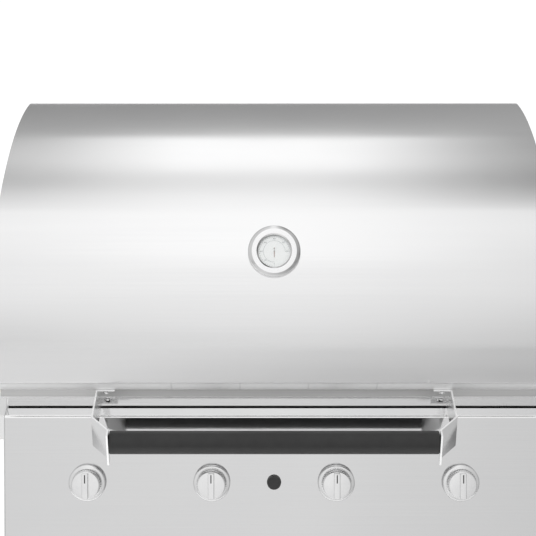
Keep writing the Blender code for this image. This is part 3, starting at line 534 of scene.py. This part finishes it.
stainless = metal("brushed_stainless", steel_tones, steel_gloss_shares, cross_grain)
skin_low, skin_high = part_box("hood_skin")
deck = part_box("control_panel")[1].z
skin_line = hood_line()
edge = skin_high.y - skin_line[-1][0]
press = (skin_high.z - deck - crease_height) / (max(z for y, z in skin_line) - crease_height)
skin_line = [(y, crease_height + (z - crease_height) * press if z > crease_height else z)
             for y, z in skin_line]
skin_line = rounded(skin_line[:3], crease_radius)[:-1] + skin_line[2:]


def placed(line):
    """A line turned from ledge places into places in the grill's frame."""
    return [(edge + y, deck + z) for y, z in line]


skin_outline = placed(skin_line + inset(skin_line, hood_sheet)[::-1])
skin = rolled(skin_outline, skin_low.x, skin_high.x)
skin = softened(skin, hood_sheet / 4, 1, sheet_corner)
joints = {joint["name"]: joint for joint in frame["joints"]}
gauge_spot = Vector(joints["needle_turn"]["pos_m"])
gauge_turn = math.pi / 2 - gauge_tilt
skin = bored(skin, [(gauge_hole_radius, gauge_spot, gauge_turn)])
hood_piece = dressed("hood_shell", skin, stainless, "hood", ["hood_skin"])

# The tucked band is the skin's own steel with a lighter tone, painted light, and a roughness that grows with
# height.
band_lit_steel = metal("band_stainless", band_lit_tones, band_gloss_shares, cross_grain)
band_tree = band_lit_steel.node_tree
band_place = axes_of(band_tree)
# Darker vertical stripes on the band above a set height, one pitch apart, within a reach of the middle.
stripe_phase = math_node(band_tree, "PINGPONG", band_place["X"], stripe_pitch / 2)
stripe_mask = remap(band_tree, stripe_phase, (stripe_pitch - stripe_width) / 2, stripe_pitch / 2)
low_fade = remap(band_tree, band_place["Z"], deck + stripe_foot, deck + stripe_foot + stripe_fade)
side_fade = math_node(band_tree, "LESS_THAN", math_node(band_tree, "ABSOLUTE", band_place["X"]), stripe_reach)
toned(band_lit_steel, product(band_tree, low_fade, side_fade, stripe_mask), stripe_tone_share)
# The top few millimetres of the band, just under the crease, are darkened: painted shade.
crease_top = deck + crease_height
crease_shade = remap(band_tree, band_place["Z"], *[crease_top - depth for depth in crease_shade_depths])
toned(band_lit_steel, crease_shade, crease_shade_share)
matt_fade = [deck + height for height in band_matt_heights]
band_tree.links.new(remap(band_tree, band_place["Z"], *matt_fade, *band_gloss_shares),
                    band_tree.nodes["Principled BSDF"].inputs["Roughness"])
slots_by(hood_piece, [band_lit_steel],
         lambda face: face.normal.z < -hood_gap and face.center.z < crease_top and face.center.y < edge)

# Hood end caps and inner liner
# Flat side plates welded inside the skin's ends, and a dull inner skin that keeps the heat off
# the outer one. Both follow the skin's outline, so they are drawn from the same line.
cap_sheet = 0.0015
weld_gap = 0.00015
liner_inset = 0.018
liner_sheet = 0.0010
liner_rear_height = 0.0350
liner_hole_radius = 0.0065
dull_tones = (0.42, (0.50, 0.50, 0.495))
dull_gloss_shares = (0.28, 0.42)

side_steel = metal("side_stainless", steel_tones, steel_gloss_shares, side_grain)
dull_steel = metal("dull_steel", dull_tones, dull_gloss_shares, cross_grain)
cap_line = inset(skin_line, hood_sheet + weld_gap)
cap_line = placed(cap_line + [(cap_line[-1][0], hood_gap)])
for name, low_x in (("left_hood_cap", skin_low.x), ("right_hood_cap", skin_high.x - cap_sheet)):
    cap = rolled(cap_line, low_x, low_x + cap_sheet)
    dressed(name + "_plate", cap, side_steel, "hood", [name])
low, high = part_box("hood_liner")
liner_line = inset(skin_line[1:-1], liner_inset)
liner_line = liner_line + [(liner_line[-1][0], liner_rear_height)]
liner_outline = placed(liner_line + inset(liner_line, liner_sheet)[::-1])
liner = rolled(liner_outline, low.x, high.x)
liner = softened(liner, liner_sheet / 4, 1, sheet_corner)
liner = bored(liner, [(liner_hole_radius, gauge_spot, gauge_turn)])
dressed("hood_inner_skin", liner, dull_steel, "hood", ["hood_liner"])

# Control panel
# One stainless sheet: the level ledge that the closed hood rests over, a rounded front edge and a
# sloping face, with a hole for each valve stem and for the igniter button.
panel_sheet = 0.0015
panel_tilt = math.radians(26.0)
panel_foot_height = 0.041
panel_bend = 0.0045
panel_return = 0.030
ledge_depth = 0.0765
control_setback = 0.096
stem_hole_radius = 0.0070
button_hole_radius = 0.0104
knob_places = (-0.27, -0.09, 0.09, 0.27)
panel_bend_steps = 10
face_gloss_shares = (0.035, 0.055)
face_shade_tones = ((0.67, 0.67, 0.675), 0.70)
panel_fade = math.radians(0.7)
fold_highlight_tones = (0.93, 0.96)
fold_gloss_shares = (0.16, 0.20)

ledge_steel = metal("ledge_stainless", steel_tones, face_gloss_shares, cross_grain)
# The sloping face is the ledge's steel made darker: painted shade.
face_shaded_steel = metal("face_stainless", face_shade_tones, face_gloss_shares, cross_grain)
# The rounded front bend is the same steel made lighter: a painted highlight.
fold_highlight_steel = metal("fold_stainless", fold_highlight_tones, fold_gloss_shares, cross_grain)
foot = -(deck - panel_foot_height) * math.tan(panel_tilt)
panel_line = placed([(foot + panel_return, panel_foot_height - deck), (foot, panel_foot_height - deck),
                     (0, 0), (ledge_depth, 0)])
panel_line = rounded(panel_line, panel_bend, panel_bend_steps)
panel_turn = math.pi / 2 - panel_tilt
face_down = Vector((0, -math.sin(panel_tilt), -math.cos(panel_tilt)))
*control_spots, button_spot = [Vector((x, edge, deck)) + face_down * control_setback
                               for x in (*knob_places, 0)]
low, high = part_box("control_panel")
panel = rolled(panel_line + inset(panel_line, panel_sheet)[::-1], low.x, high.x)
panel = bored(panel, [(stem_hole_radius, spot, panel_turn) for spot in control_spots]
              + [(button_hole_radius, button_spot, panel_turn)])
panel_piece = dressed("control_panel_sheet", panel, ledge_steel, "body", ["control_panel"])


def panel_side(face):
    """The finish of a face of the panel: 1 on the slope, 2 on the front bend and 0 on the ledge."""
    if face.normal.z < math.sin(panel_tilt + panel_fade):
        return 1
    return 2 if face.normal.z < math.cos(panel_fade * 4) and face.normal.y < 0 else 0


slots_by(panel_piece, [face_shaded_steel, fold_highlight_steel], panel_side)

# Side panels, rear panel and bottom pan
# Bent sheets spot-welded to each other. The side sheets end in hanging flanges that carry the head
# in its cut-out, and the rear sheet has a row of vents.
soft_edge = 0.0004
flat_turn = math.radians(1)
flange_tones = (0.86, 0.90)
flange_gloss_shares = (0.35, 0.45)
flange_metal_share = 0.25
flange_shade_tones = (0.50, 0.54)

flange_satin = metal("flange_satin", flange_tones, flange_gloss_shares, side_grain,
                     metallic=flange_metal_share)
# The flanges' front faces take a darker copy of the steel: painted shade.
flange_front = metal("flange_front", flange_shade_tones, steel_gloss_shares, side_grain)


def cad_piece(node, name, finish, width=soft_edge, steps=2, sharper=sharp_corner):
    """A piece from a merged copy of a CAD node's solid: flat faces made whole, and edges rounded."""
    bm = as_shape(frame["nodes"][node].data)
    bmesh.ops.remove_doubles(bm, verts=bm.verts, dist=merge_gap)
    bmesh.ops.dissolve_limit(bm, angle_limit=flat_turn, verts=bm.verts, edges=bm.edges)
    bodies = frame["record"]["behaviour"]["bodies"]
    body = next(body for body, members in bodies.items() if node in members)
    return dressed(name, softened(bm, width, steps, sharper), finish, body, [node])


for node, finish, slot in (("left_side_panel", side_steel, "stainless"),
                           ("right_side_panel", side_steel, "stainless"),
                           ("rear_panel", stainless, "stainless"),
                           ("bottom_pan", dull_steel, "inner_steel")):
    sheet = cad_piece(node, node + "_sheet", finish)
    # Flange tops take the satin finish, and their front faces take the darker painted shade.
    if node.endswith("side_panel"):
        slots_by(sheet, [flange_satin, flange_front],
                 lambda face: 1 if face.normal.z > panel_fade else 2 if -face.normal.y > panel_fade else 0)

# Firebox
# The stepped burner box of dull steel, in four folded walls welded at mitred corners. Its steps
# carry the grates and the flame tamers.
for node in [name for name in frame["nodes"] if name.startswith("firebox")]:
    cad_piece(node, node + "_wall", dull_steel)

# Cooking grates and warming rack
# Two grates of round-edged satin steel bars lie on the firebox's upper step, and a rack of chromed
# wire stands over the rear of them on four legs. Bars and wires are laid by one repeating rule.
grate_bar = 0.0080
grate_slot = 0.0130
grate_rail = 0.0140
grate_round = 0.0022
rack_wire = 0.0050
rack_slot = 0.0150
rack_leg = 0.0060
grate_bar_inset = 0.0002
rack_leg_margin = 0.0090
wire_sides = 12
no_shift = (0.0, 0.0, 0.0)
grate_tones = ((0.50, 0.50, 0.495), (0.60, 0.60, 0.595))
grate_gloss_shares = (0.22, 0.34)
chrome_tones = ((0.86, 0.86, 0.87), 0.90)
chrome_gloss_shares = (0.04, 0.07)
chrome_relief = grain_relief / 8

grate_steel = metal("grate_steel", grate_tones, grate_gloss_shares, side_grain)
chrome = metal("bright_chrome", chrome_tones, chrome_gloss_shares, relief=chrome_relief)

row_tree, given, result = new_tree("repeated_shape", "GeometryNodeTree", {
    "Shape": "Geometry", "Count": "Int", "Start": "Vector", "Step": "Vector", "Turn": "Vector",
    "Twist": "Vector", "Finish": "Material"}, {"Row": "Geometry"})
spots = add_node(row_tree, "GeometryNodeMeshLine",
                 {"Count": given["Count"], "Start Location": given["Start"], "Offset": given["Step"]})
number = add_node(row_tree, "GeometryNodeInputIndex").outputs[0]
twist = add_node(row_tree, "ShaderNodeVectorMath", {0: given["Twist"], "Scale": number}, operation="SCALE")
facing = add_node(row_tree, "ShaderNodeVectorMath", {0: given["Turn"], 1: twist.outputs[0]}, operation="ADD")
laid = add_node(row_tree, "GeometryNodeInstanceOnPoints",
                {"Points": spots.outputs[0], "Instance": given["Shape"], "Rotation": facing.outputs[0]})
ended(row_tree, laid.outputs[0], given["Finish"], result["Row"])


def slab(low, high):
    """A block between two corners."""
    low, high = Vector(low), Vector(high)
    bm = bmesh.new()
    bmesh.ops.create_cube(bm, size=1)
    bm.transform(Matrix.Translation((low + high) / 2) @ Matrix.Diagonal((*(high - low), 1)))
    return bm


def rod(start, end, radius):
    """A wire between two points."""
    start, end = Vector(start), Vector(end)
    bm = turned(drum(radius, (end - start).length), wire_sides)
    bm.transform(Matrix.Translation(start) @ (end - start).to_track_quat("Z", "Y").to_matrix().to_4x4())
    return bm


def added(bm, other):
    """The first shape with the second one's faces added to it."""
    bm.from_mesh(as_mesh(other))
    return bm


def repeated(shape, finish, count, start=no_shift, step=no_shift, turn=no_shift, twist=no_shift):
    """A shape repeated along a row by the row tree, and turned by a twist more each time."""
    values = {"Count": count, "Start": start, "Step": step, "Turn": turn, "Twist": twist, "Finish": finish}
    return grown(shape, row_tree, values)


for node in ("left_grate", "right_grate"):
    low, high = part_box(node)
    reach = high.x - low.x - grate_bar
    count = int(reach / (grate_bar + grate_slot))
    front_rail = slab(low, (high.x, low.y + grate_rail, high.z))
    rails = softened(added(front_rail, slab((low.x, high.y - grate_rail, low.z), high)), grate_round)
    bar_size = Vector((grate_bar, high.y - low.y - grate_rail, high.z - low.z - grate_bar_inset * 2))
    bar = softened(slab(-bar_size / 2, bar_size / 2), grate_round)
    first_bar = (low + high) / 2 - Vector((reach / 2, 0, 0))
    added(rails, repeated(bar, grate_steel, count + 1, first_bar, (reach / count, 0.0, 0.0)))
    dressed(node + "_bars", rails, grate_steel, "body", [node])

low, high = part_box("warming_rack")
reach = high.y - low.y - rack_wire
rows = int(reach / (rack_wire + rack_slot))
wire_z = high.z - rack_wire / 2
under_z = wire_z - rack_wire / 3
leg_x = high.x - rack_leg_margin / 2
wire = rod((low.x, 0, 0), (high.x, 0, 0), rack_wire / 2)
rack = repeated(wire, chrome, rows + 1, (0.0, low.y + rack_wire / 2, wire_z), (0.0, reach / rows, 0.0))
wire = rod((0, low.y, under_z), (0, high.y, under_z), rack_wire / 2)
half_pitch = (high.x - low.x - rack_wire) / 2
added(rack, repeated(wire, chrome, 3, (low.x + rack_wire / 2, 0.0, 0.0), (half_pitch, 0.0, 0.0)))
for y in (low.y + rack_wire, high.y - rack_wire):
    leg = rod((0, 0, low.z), (0, 0, wire_z), rack_leg / 2)
    added(rack, repeated(leg, chrome, 2, (-leg_x, y, 0.0), (leg_x * 2, 0.0, 0.0)))
dressed("warming_rack_wires", rack, chrome, "body", ["warming_rack"])

# Burners, flame tamers and electrodes
# Four steel tube burners with two rows of ports and a bell mouth, a peaked cover over each, and
# two ceramic spark electrodes.
burner_radius = 0.0125
burner_mouth_radius = 0.0150
burner_neck_radius = 0.0095
burner_bore_radius = 0.0080
burner_wall = 0.0015
venturi_length = 0.055
port_radius = 0.0011
port_pitch = 0.0085
port_start = 0.085
port_end_margin = 0.018
port_turn = math.radians(38)
port_depth = 0.0004
port_rise = 0.0001
port_sides = 10
tube_sides = 32
port_shade_tones = (0.02, 0.035)
port_gloss_shares = (0.6, 0.8)
heat_tones = ((0.30, 0.27, 0.24), (0.46, 0.43, 0.40))
ceramic_tones = ((0.80, 0.78, 0.71), (0.88, 0.86, 0.80))
ceramic_gloss_shares = (0.25, 0.35)
fine_relief = grain_relief / 2


def coat(name, tones, gloss, metallic=0.0):
    """A finer surface than brushed metal, such as paint, plastic or glaze."""
    return metal(name, tones, gloss, even_grain, fine_relief, metallic)


heated_steel = metal("heated_steel", heat_tones, dull_gloss_shares)
ceramic = coat("glazed_ceramic", ceramic_tones, ceramic_gloss_shares)
port_shade = coat("port_shadow", port_shade_tones, port_gloss_shares)


def marked(bm, plain_faces):
    """The shape with its second finish on each face after the plain ones."""
    for number, face in enumerate(bm.faces):
        face.material_index = int(number >= plain_faces)
    return bm


for index, x in enumerate(knob_places, 1):
    node = f"burner_{index}"
    low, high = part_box(node)
    length = high.y - low.y
    axis = Vector((x, low.y, (low.z + high.z) / 2))
    mouth_bore = burner_mouth_radius - burner_wall
    profile = ((0, length), (burner_radius, length), (burner_radius, venturi_length),
               (burner_neck_radius, venturi_length / 2), (burner_mouth_radius, 0),
               (mouth_bore, 0), (burner_bore_radius, venturi_length / 2), (0, venturi_length))
    tube = softened(stood(turned(profile, tube_sides), axis, -math.pi / 2), soft_edge)
    tube_faces = len(tube.faces)
    count = int((length - port_start - port_end_margin) / port_pitch)
    for side in (-1, 1):
        reach = burner_radius - port_depth / 2 + port_rise
        spot = axis + Vector((side * reach * math.sin(port_turn), port_start, reach * math.cos(port_turn)))
        # Each port is a thin near-black disc set into the tube: painted shade in place of a hole.
        plug = turned(drum(port_radius, port_depth / 2, -port_depth / 2), port_sides)
        lean = (0.0, side * port_turn, 0.0)
        added(tube, repeated(plug, port_shade, count, spot, (0.0, port_pitch, 0.0), lean))
    tube = marked(tube, tube_faces)
    dressed(node + "_tube", tube, [heated_steel, port_shade], "body", [node])
    node = f"flame_tamer_{index}"
    cad_piece(node, node + "_cover", heated_steel)
for node in ("left_electrode", "right_electrode"):
    cad_piece(node, node + "_rod", ceramic, soft_edge / 2)

# Gas line and valves
# A steel manifold under four brass valves, with a brazed inlet pipe that ends in a flare nut at the
# rear. Each valve has a brass stem that its knob turns.
brass_tones = ((0.66, 0.48, 0.22), (0.78, 0.60, 0.30))
brass_gloss_shares = (0.18, 0.30)
cast_corner = 40

brass = metal("machined_brass", brass_tones, brass_gloss_shares)
cad_piece("manifold", "manifold_pipe", dull_steel, sharper=cast_corner)
for index in range(1, len(knob_places) + 1):
    for node, ending in ((f"valve_body_{index}", "_casting"), (f"valve_stem_{index}", "_pin")):
        cad_piece(node, node + ending, brass, sharper=cast_corner)

# Knobs
# Turned steel knobs with a wide skirt, a fluted grip and a raised bar across the crown, with one
# dark line on the bar as the pointer. Each is pushed onto its valve's stem.
knob_radius = 0.0265
knob_grip_radius = 0.0205
knob_skirt = 0.0060
knob_height = 0.0260
knob_lift = 0.0045
knob_edge = 0.0020
knob_bore_depth = 0.0187
knob_bore_radius = 0.0043
grip_bar_width = 0.0090
grip_bar_height = 0.0070
flute_count = 40
flute_depth_share = 0.035
pointer_width = 0.0016
pointer_length = 0.0120
pointer_rise = 0.0001
knob_sides = 160
grip_edge_steps = 3
corner_reach_share = 0.4
corner_pull_share = 0.6
turned_tones = ((0.78, 0.78, 0.785), 0.84)
turned_gloss_shares = (0.14, 0.22)
pointer_tones = (0.02, 0.03)
pointer_gloss_shares = (0.4, 0.5)

knob_steel = metal("turned_steel", turned_tones, turned_gloss_shares)
pointer_black = coat("pointer_black", pointer_tones, pointer_gloss_shares)


def edged(profile, width):
    """A turned profile with its corners rounded by a small width, apart from those on the axis."""
    done = []
    for index, corner in enumerate(profile):
        if index in (0, len(profile) - 1):
            done.append(corner)
            continue
        here = Vector(corner)
        for other in (profile[index - 1], profile[index + 1]):
            way = Vector(other) - here
            done.append(tuple(here + way.normalized() * min(width, way.length * corner_reach_share)))
        middle = (Vector(done[-2]) + Vector(done[-1])) / 2
        done.insert(-1, tuple(here.lerp(middle, corner_pull_share)))
    return done


for index, spot in enumerate(control_spots, 1):
    crown = knob_lift + knob_height
    skirt_top = knob_lift + knob_skirt
    bore_top = knob_lift + knob_bore_depth
    profile = ((0, crown), (knob_grip_radius, crown), (knob_grip_radius, skirt_top), (knob_radius, skirt_top),
               (knob_radius, knob_lift), (knob_bore_radius, knob_lift), (knob_bore_radius, bore_top),
               (0, bore_top))
    knob = turned(edged(profile, knob_edge), knob_sides)
    for vertex in knob.verts:
        if skirt_top + knob_edge < vertex.co.z < crown - knob_edge / 2:
            around = math.atan2(vertex.co.y, vertex.co.x)
            wave = (1 + math.cos(around * flute_count)) / 2
            vertex.co.xy *= 1 - flute_depth_share * wave
    reach = knob_grip_radius - knob_edge
    grip_top = crown + grip_bar_height
    grip = slab((-grip_bar_width / 2, -reach, crown - knob_edge), (grip_bar_width / 2, reach, grip_top))
    added(knob, softened(grip, knob_edge / 2, grip_edge_steps))
    plain_faces = len(knob.faces)
    line_end = reach - knob_edge
    added(knob, slab((-pointer_width / 2, line_end - pointer_length, crown),
                     (pointer_width / 2, line_end, grip_top + pointer_rise)))
    knob = stood(marked(knob, plain_faces), spot, panel_turn)
    node = f"knob_{index}"
    dressed(node + "_turned", knob, [knob_steel, pointer_black], node, [node])

# Igniter
# A black plastic button that slides in a round plastic module. The module sits behind the sloping
# face, and the button stands out through the face's hole.
button_radius = 0.0100
button_height = 0.0080
button_length = 0.0280
button_dish = 0.0008
button_dish_shares = (0.7, 0.8)
plastic_tones = (0.022, 0.035)
plastic_gloss_shares = (0.30, 0.42)

black_plastic = coat("black_plastic", plastic_tones, plastic_gloss_shares)
dish_radius, ring_radius = [button_radius * share for share in button_dish_shares]
button_foot = button_height - button_length
profile = ((0, button_height - button_dish), (dish_radius, button_height - button_dish / 2),
           (ring_radius, button_height), (button_radius, button_height),
           (button_radius, button_foot), (0, button_foot))
button = stood(turned(edged(profile, button_dish)), button_spot, panel_turn)
dressed("igniter_push_button", button, black_plastic, "button", ["igniter_button"])
cad_piece("igniter_module", "igniter_module_case", black_plastic, sharper=cast_corner)

# Drip tray
# A shallow folded tray of dull steel with a full-width front plate and a pull along its foot. It
# slides on two rails on the pan.
cad_piece("drip_tray", "drip_tray_folded", dull_steel, soft_edge / 2)

# Handle
# A round black bar between two bent stainless straps. Each strap's tab lies on the hood's tucked
# band and is held by two cross-recess screws.
bar_radius = 0.0160
bar_edge = 0.0015
bar_sides = 72
bar_tones = (0.012, 0.020)
bar_gloss_shares = (0.34, 0.46)
strap_edge = 0.0006
strap_edge_steps = 3
strap_corner = 12
strap_tones = (0.93, 0.96)
strap_gloss_shares = (0.22, 0.28)
strap_side_share = 0.3
strap_back_share = 0.1


def strap_side(face):
    """The finish of a strap's face: 1 on its outer side, 2 on its turned-in part's inner side."""
    outward = face.normal.x * math.copysign(1, face.center.x)
    if outward > strap_side_share:
        return 1
    return 2 if outward < -strap_side_share and face.normal.y > strap_back_share else 0


bar_black = coat("bar_black", bar_tones, bar_gloss_shares)
strap_steel = metal("strap_stainless", strap_tones, strap_gloss_shares, side_grain)
low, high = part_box("handle_bar")
bar_half = (high.x - low.x) / 2
bar = turned(edged(drum(bar_radius, bar_half, -bar_half), bar_edge), bar_sides)
bar = stood(bar, (low + high) / 2, math.pi / 2, "Y")
dressed("handle_round_bar", bar, bar_black, "hood", ["handle_bar"])
for node in ("left_handle_strap", "right_handle_strap"):
    strap = cad_piece(node, node + "_bent", strap_steel, strap_edge, strap_edge_steps,
                      strap_corner)
    # Each strap is one bent strip: its outer sides take the darker face steel as painted shade, and its turned-in
    # part's inner side takes the satin finish.
    slots_by(strap, [face_shaded_steel, flange_satin], strap_side)

screw_tones = (0.72, 0.80)
screw_gloss_shares = (0.08, 0.14)
screw_arm = 0.0049
screw_arm_width = 0.0032
screw_recess = 0.0016
screw_rise = 0.0028
screw_wall_share = 0.2
screw_lift = 0.0007
crown_sag_share = 0.12
screw_row_shares = (0.30, 0.55, 0.78, 0.93, 1.0)
screw_turns = (48, 36, 20, 50)
screw_sides = 32
recess_shade_tones = (0.03, 0.06)
recess_gloss_shares = (0.5, 0.6)

screw_steel = metal("screw_steel", screw_tones, screw_gloss_shares)
recess_shade = metal("screw_recess", recess_shade_tones, recess_gloss_shares)
band_lean = math.atan2(lip_setback + crease_overhang, crease_height - hood_gap)
band_out = Vector((0, -math.cos(band_lean), -math.sin(band_lean)))


def crown_height(share):
    """The height of a screw's round head at a share of its radius."""
    return screw_rise * (screw_wall_share + (1 - screw_wall_share) * math.sqrt(max(1 - share ** 2, 0)))


for index, turn in enumerate(screw_turns, 1):
    node = f"handle_screw_{index}"
    low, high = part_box(node)
    radius = (high.x - low.x) / 2
    profile = [(0, screw_rise)] + [(radius * share, crown_height(share)) for share in screw_row_shares]
    profile += [(radius, 0), (0, 0)]
    arms = [slab((-x, -y, screw_rise - screw_recess), (x, y, screw_rise * 2))
            for x, y in ((screw_arm, screw_arm_width / 2), (screw_arm_width / 2, screw_arm))]
    head = cut(turned(profile, screw_sides), [stood(arm, no_shift, math.radians(turn), "Z") for arm in arms])
    # Faces inside the cross recess take a near-black finish: painted shade.
    for face in head.faces:
        spot = face.calc_center_median()
        crown_here = crown_height(min(spot.xy.length / radius, 1.0)) - screw_recess * crown_sag_share
        face.material_index = int(spot.xy.length < screw_arm and screw_recess / 4 < spot.z < crown_here)
    # The middle of a leaning head's box lies nearer the hood than the middle of the head.
    stood(head, (low + high) / 2 + band_out * (screw_lift - screw_rise / 2), math.pi / 2 + band_lean)
    dressed(node + "_head", head, [screw_steel, recess_shade], "hood", [node])

# Thermometer
# A round case with a polished bezel on the hood's brow, a pale printed dial under glass and a
# needle that turns. A nut inside the hood holds its stem.
gauge_radius = 0.0364
gauge_rim = ((0.0311, 0.0125), (0.0315, 0.0123), (0.0319, 0.0120), (0.0351, 0.0099), (0.0357, 0.0093),
             (0.0361, 0.0084), (0.0364, 0.0070))
gauge_ring_radius = 0.0245
gauge_window_radius = 0.0226
gauge_cavity_radius = 0.0300
gauge_height = 0.0125
gauge_lip = 0.0015
gauge_dial_depth = 0.0060
gauge_stem_radius = 0.0050
gauge_stem_length = 0.0140
gauge_probe_radius = 0.0025
gauge_probe_length = 0.0600
gauge_seat = 0.0003
gauge_sides = 128
lens_sheet = 0.0014
card_sheet = 0.0010
bezel_gloss_shares = (0.09, 0.13)
rim_shade_tones = ((0.76, 0.76, 0.765), 0.80)
ring_shade_tones = (0.64, 0.70)

bezel_steel = metal("bezel_steel", chrome_tones, bezel_gloss_shares, relief=chrome_relief)
rim_steel = metal("rim_steel", rim_shade_tones, bezel_gloss_shares, relief=chrome_relief)
ring_steel = metal("ring_steel", ring_shade_tones, bezel_gloss_shares, relief=chrome_relief)
dial_top = gauge_height - gauge_dial_depth
lens_top = gauge_height - gauge_lip - gauge_seat
floor_top = dial_top - card_sheet - gauge_seat
lip_foot = lens_top + gauge_seat
profile = [(0, floor_top), (gauge_cavity_radius, floor_top), (gauge_cavity_radius, lip_foot),
           (gauge_window_radius, lip_foot), (gauge_ring_radius, gauge_height), *gauge_rim,
           (gauge_radius, 0), (gauge_stem_radius, 0), (gauge_stem_radius, -gauge_stem_length),
           (gauge_probe_radius, -gauge_stem_length), (gauge_probe_radius, -gauge_probe_length),
           (0, -gauge_probe_length)]
case = turned(profile, gauge_sides)
# The inner bevel round the window takes a darker copy of the bezel steel: painted shade.
for face in case.faces:
    spot = face.calc_center_median()
    outward = spot.xy.length
    if spot.z > lip_foot and outward < gauge_ring_radius:
        face.material_index = 1
    elif outward > gauge_rim[0][0]:
        face.material_index = 2
case = stood(case, gauge_spot, gauge_turn)
# The outer rim takes a slightly darker copy of the bezel steel: painted shade.
case_finishes = [bezel_steel, ring_steel, rim_steel]
dressed("thermometer_bezel", case, case_finishes, "hood", ["thermometer_case"], sharp_corner)


def disc(top, sheet):
    """A thin round plate that fits in the gauge, with its top at a height over the gauge's foot."""
    profile = drum(gauge_cavity_radius - gauge_seat, top, top - sheet)
    return stood(turned(profile, gauge_sides), gauge_spot, gauge_turn)


card_tones = ((0.92, 0.94, 0.93), (0.95, 0.965, 0.96))
card_gloss_shares = (0.34, 0.42)
card_metal_share = 0.65
ink_tones = ((0.26, 0.29, 0.29), (0.34, 0.37, 0.37))
print_rise = 0.00008
tick_count = 31
tick_sweep = math.radians(270)
tick_radius = 0.0205
tick_length = 0.0016
tick_width = 0.0003
arc_radius = 0.0150
figure_count = 7
figure_step = 100
figure_radius = 0.0176
figure_size = 0.0026

card = coat("dial_card", card_tones, card_gloss_shares, card_metal_share)
ink = coat("dial_ink", ink_tones, card_gloss_shares)
dressed("thermometer_card", disc(dial_top, card_sheet), card, "hood", ["thermometer_dial"])

tick = slab((-tick_width / 2, tick_radius - tick_length / 2, 0),
            (tick_width / 2, tick_radius + tick_length / 2, print_rise))
tick_turn = -tick_sweep / (tick_count - 1)
prints = repeated(tick, ink, tick_count, turn=(0.0, 0.0, math.pi), twist=(0.0, 0.0, tick_turn))
arc_half = math.pi * arc_radius / (tick_count - 1)
arc = slab((-arc_half, arc_radius - tick_width / 2, 0), (arc_half, arc_radius + tick_width / 2, print_rise))
added(prints, repeated(arc, ink, tick_count - 1, turn=(0.0, 0.0, math.pi + tick_turn / 2),
                       twist=(0.0, 0.0, tick_turn)))
for place in range(figure_count):
    writing = bpy.data.curves.new("figure", "FONT")
    writing.body = str(figure_step * place)
    writing.size = figure_size
    writing.align_x = writing.align_y = "CENTER"
    writing.extrude = print_rise
    words = linked("figure", writing)
    figure = settled(words)
    bpy.data.objects.remove(words)
    swing = tick_sweep * place / (figure_count - 1)
    spot = Vector((-math.sin(swing), -math.cos(swing), 0)) * figure_radius
    figure.transform(Matrix.Translation(spot))
    prints.from_mesh(figure)
prints = stood(stood(prints, (0, 0, dial_top)), gauge_spot, gauge_turn)
dressed("thermometer_scale", prints, ink, "hood", ["thermometer_dial"])

lens_alpha_share = 0.08
lens_gloss_shares = (0.01, 0.03)
lens_bend = 1.45
smudge_scale = 90.0
lens_values = {"IOR": lens_bend, "Transmission Weight": 1.0, "Alpha": lens_alpha_share}
lens_glass, lens_tree, lens_shader = new_finish("lens_glass", lens_values)
smudge = add_node(lens_tree, "ShaderNodeTexNoise", {"Scale": smudge_scale}).outputs["Fac"]
lens_tree.links.new(remap(lens_tree, smudge, *cloud_shares, *lens_gloss_shares), lens_shader["Roughness"])
dressed("thermometer_lens", disc(lens_top, lens_sheet), lens_glass, "hood", ["thermometer_glass"])
cad_piece("thermometer_nut", "thermometer_hex_nut", brass)

needle_lift = 0.0007
needle_sheet = 0.0006
needle_tip = 0.0085
needle_tail = 0.0042
needle_width = 0.0012
needle_tip_share = 0.5
hub_radius = 0.0009
hub_rise = 0.0015
weight_radius = 0.0011
weight_rise = 0.0009
pin_sides = 32
needle_tones = ((0.40, 0.28, 0.25), (0.46, 0.33, 0.30))
hub_tones = ((0.54, 0.52, 0.50), (0.62, 0.60, 0.58))
hub_metal_share = 0.3

needle_paint = coat("needle_paint", needle_tones, card_gloss_shares)
hub_steel = coat("needle_hub", hub_tones, screw_gloss_shares, hub_metal_share)
needle_low = dial_top + needle_lift
needle_high = needle_low + needle_sheet
blade = slab((-needle_width / 2, -needle_tip, needle_low), (needle_width / 2, 0, needle_high))
for vertex in blade.verts:
    if vertex.co.y < 0:
        vertex.co.x *= needle_tip_share
blade_faces = len(blade.faces)
added(blade, slab((-needle_width / 4, 0, needle_low), (needle_width / 4, needle_tail, needle_high)))
for y, radius, rise in ((0, hub_radius, hub_rise), (needle_tail, weight_radius, weight_rise)):
    profile = drum(radius, needle_low + rise, needle_low - needle_sheet / 2)
    added(blade, stood(turned(edged(profile, needle_sheet / 3), pin_sides), (0, y, 0)))
blade = stood(marked(blade, blade_faces), gauge_spot, gauge_turn)
dressed("thermometer_pointer", blade, [needle_paint, hub_steel], "needle", ["thermometer_needle"])

# Hinges and bumpers
# Two strap hinges of dull steel carry the hood at the rear, each on a riveted pin, and two rubber
# pads on the ledge take its lip.
rubber_tones = (0.015, 0.025)
rubber_gloss_shares = (0.7, 0.85)

rubber_black = metal("rubber_black", rubber_tones, rubber_gloss_shares, metallic=0.0)
for side in ("left", "right"):
    for node, finish, slot in ((side + "_hinge_bracket", dull_steel, "inner_steel"),
                               (side + "_hinge_leaf", dull_steel, "inner_steel"),
                               (side + "_hood_bumper", rubber_black, "rubber")):
        cad_piece(node, node + "_piece", finish, soft_edge / 2, sharper=cast_corner)
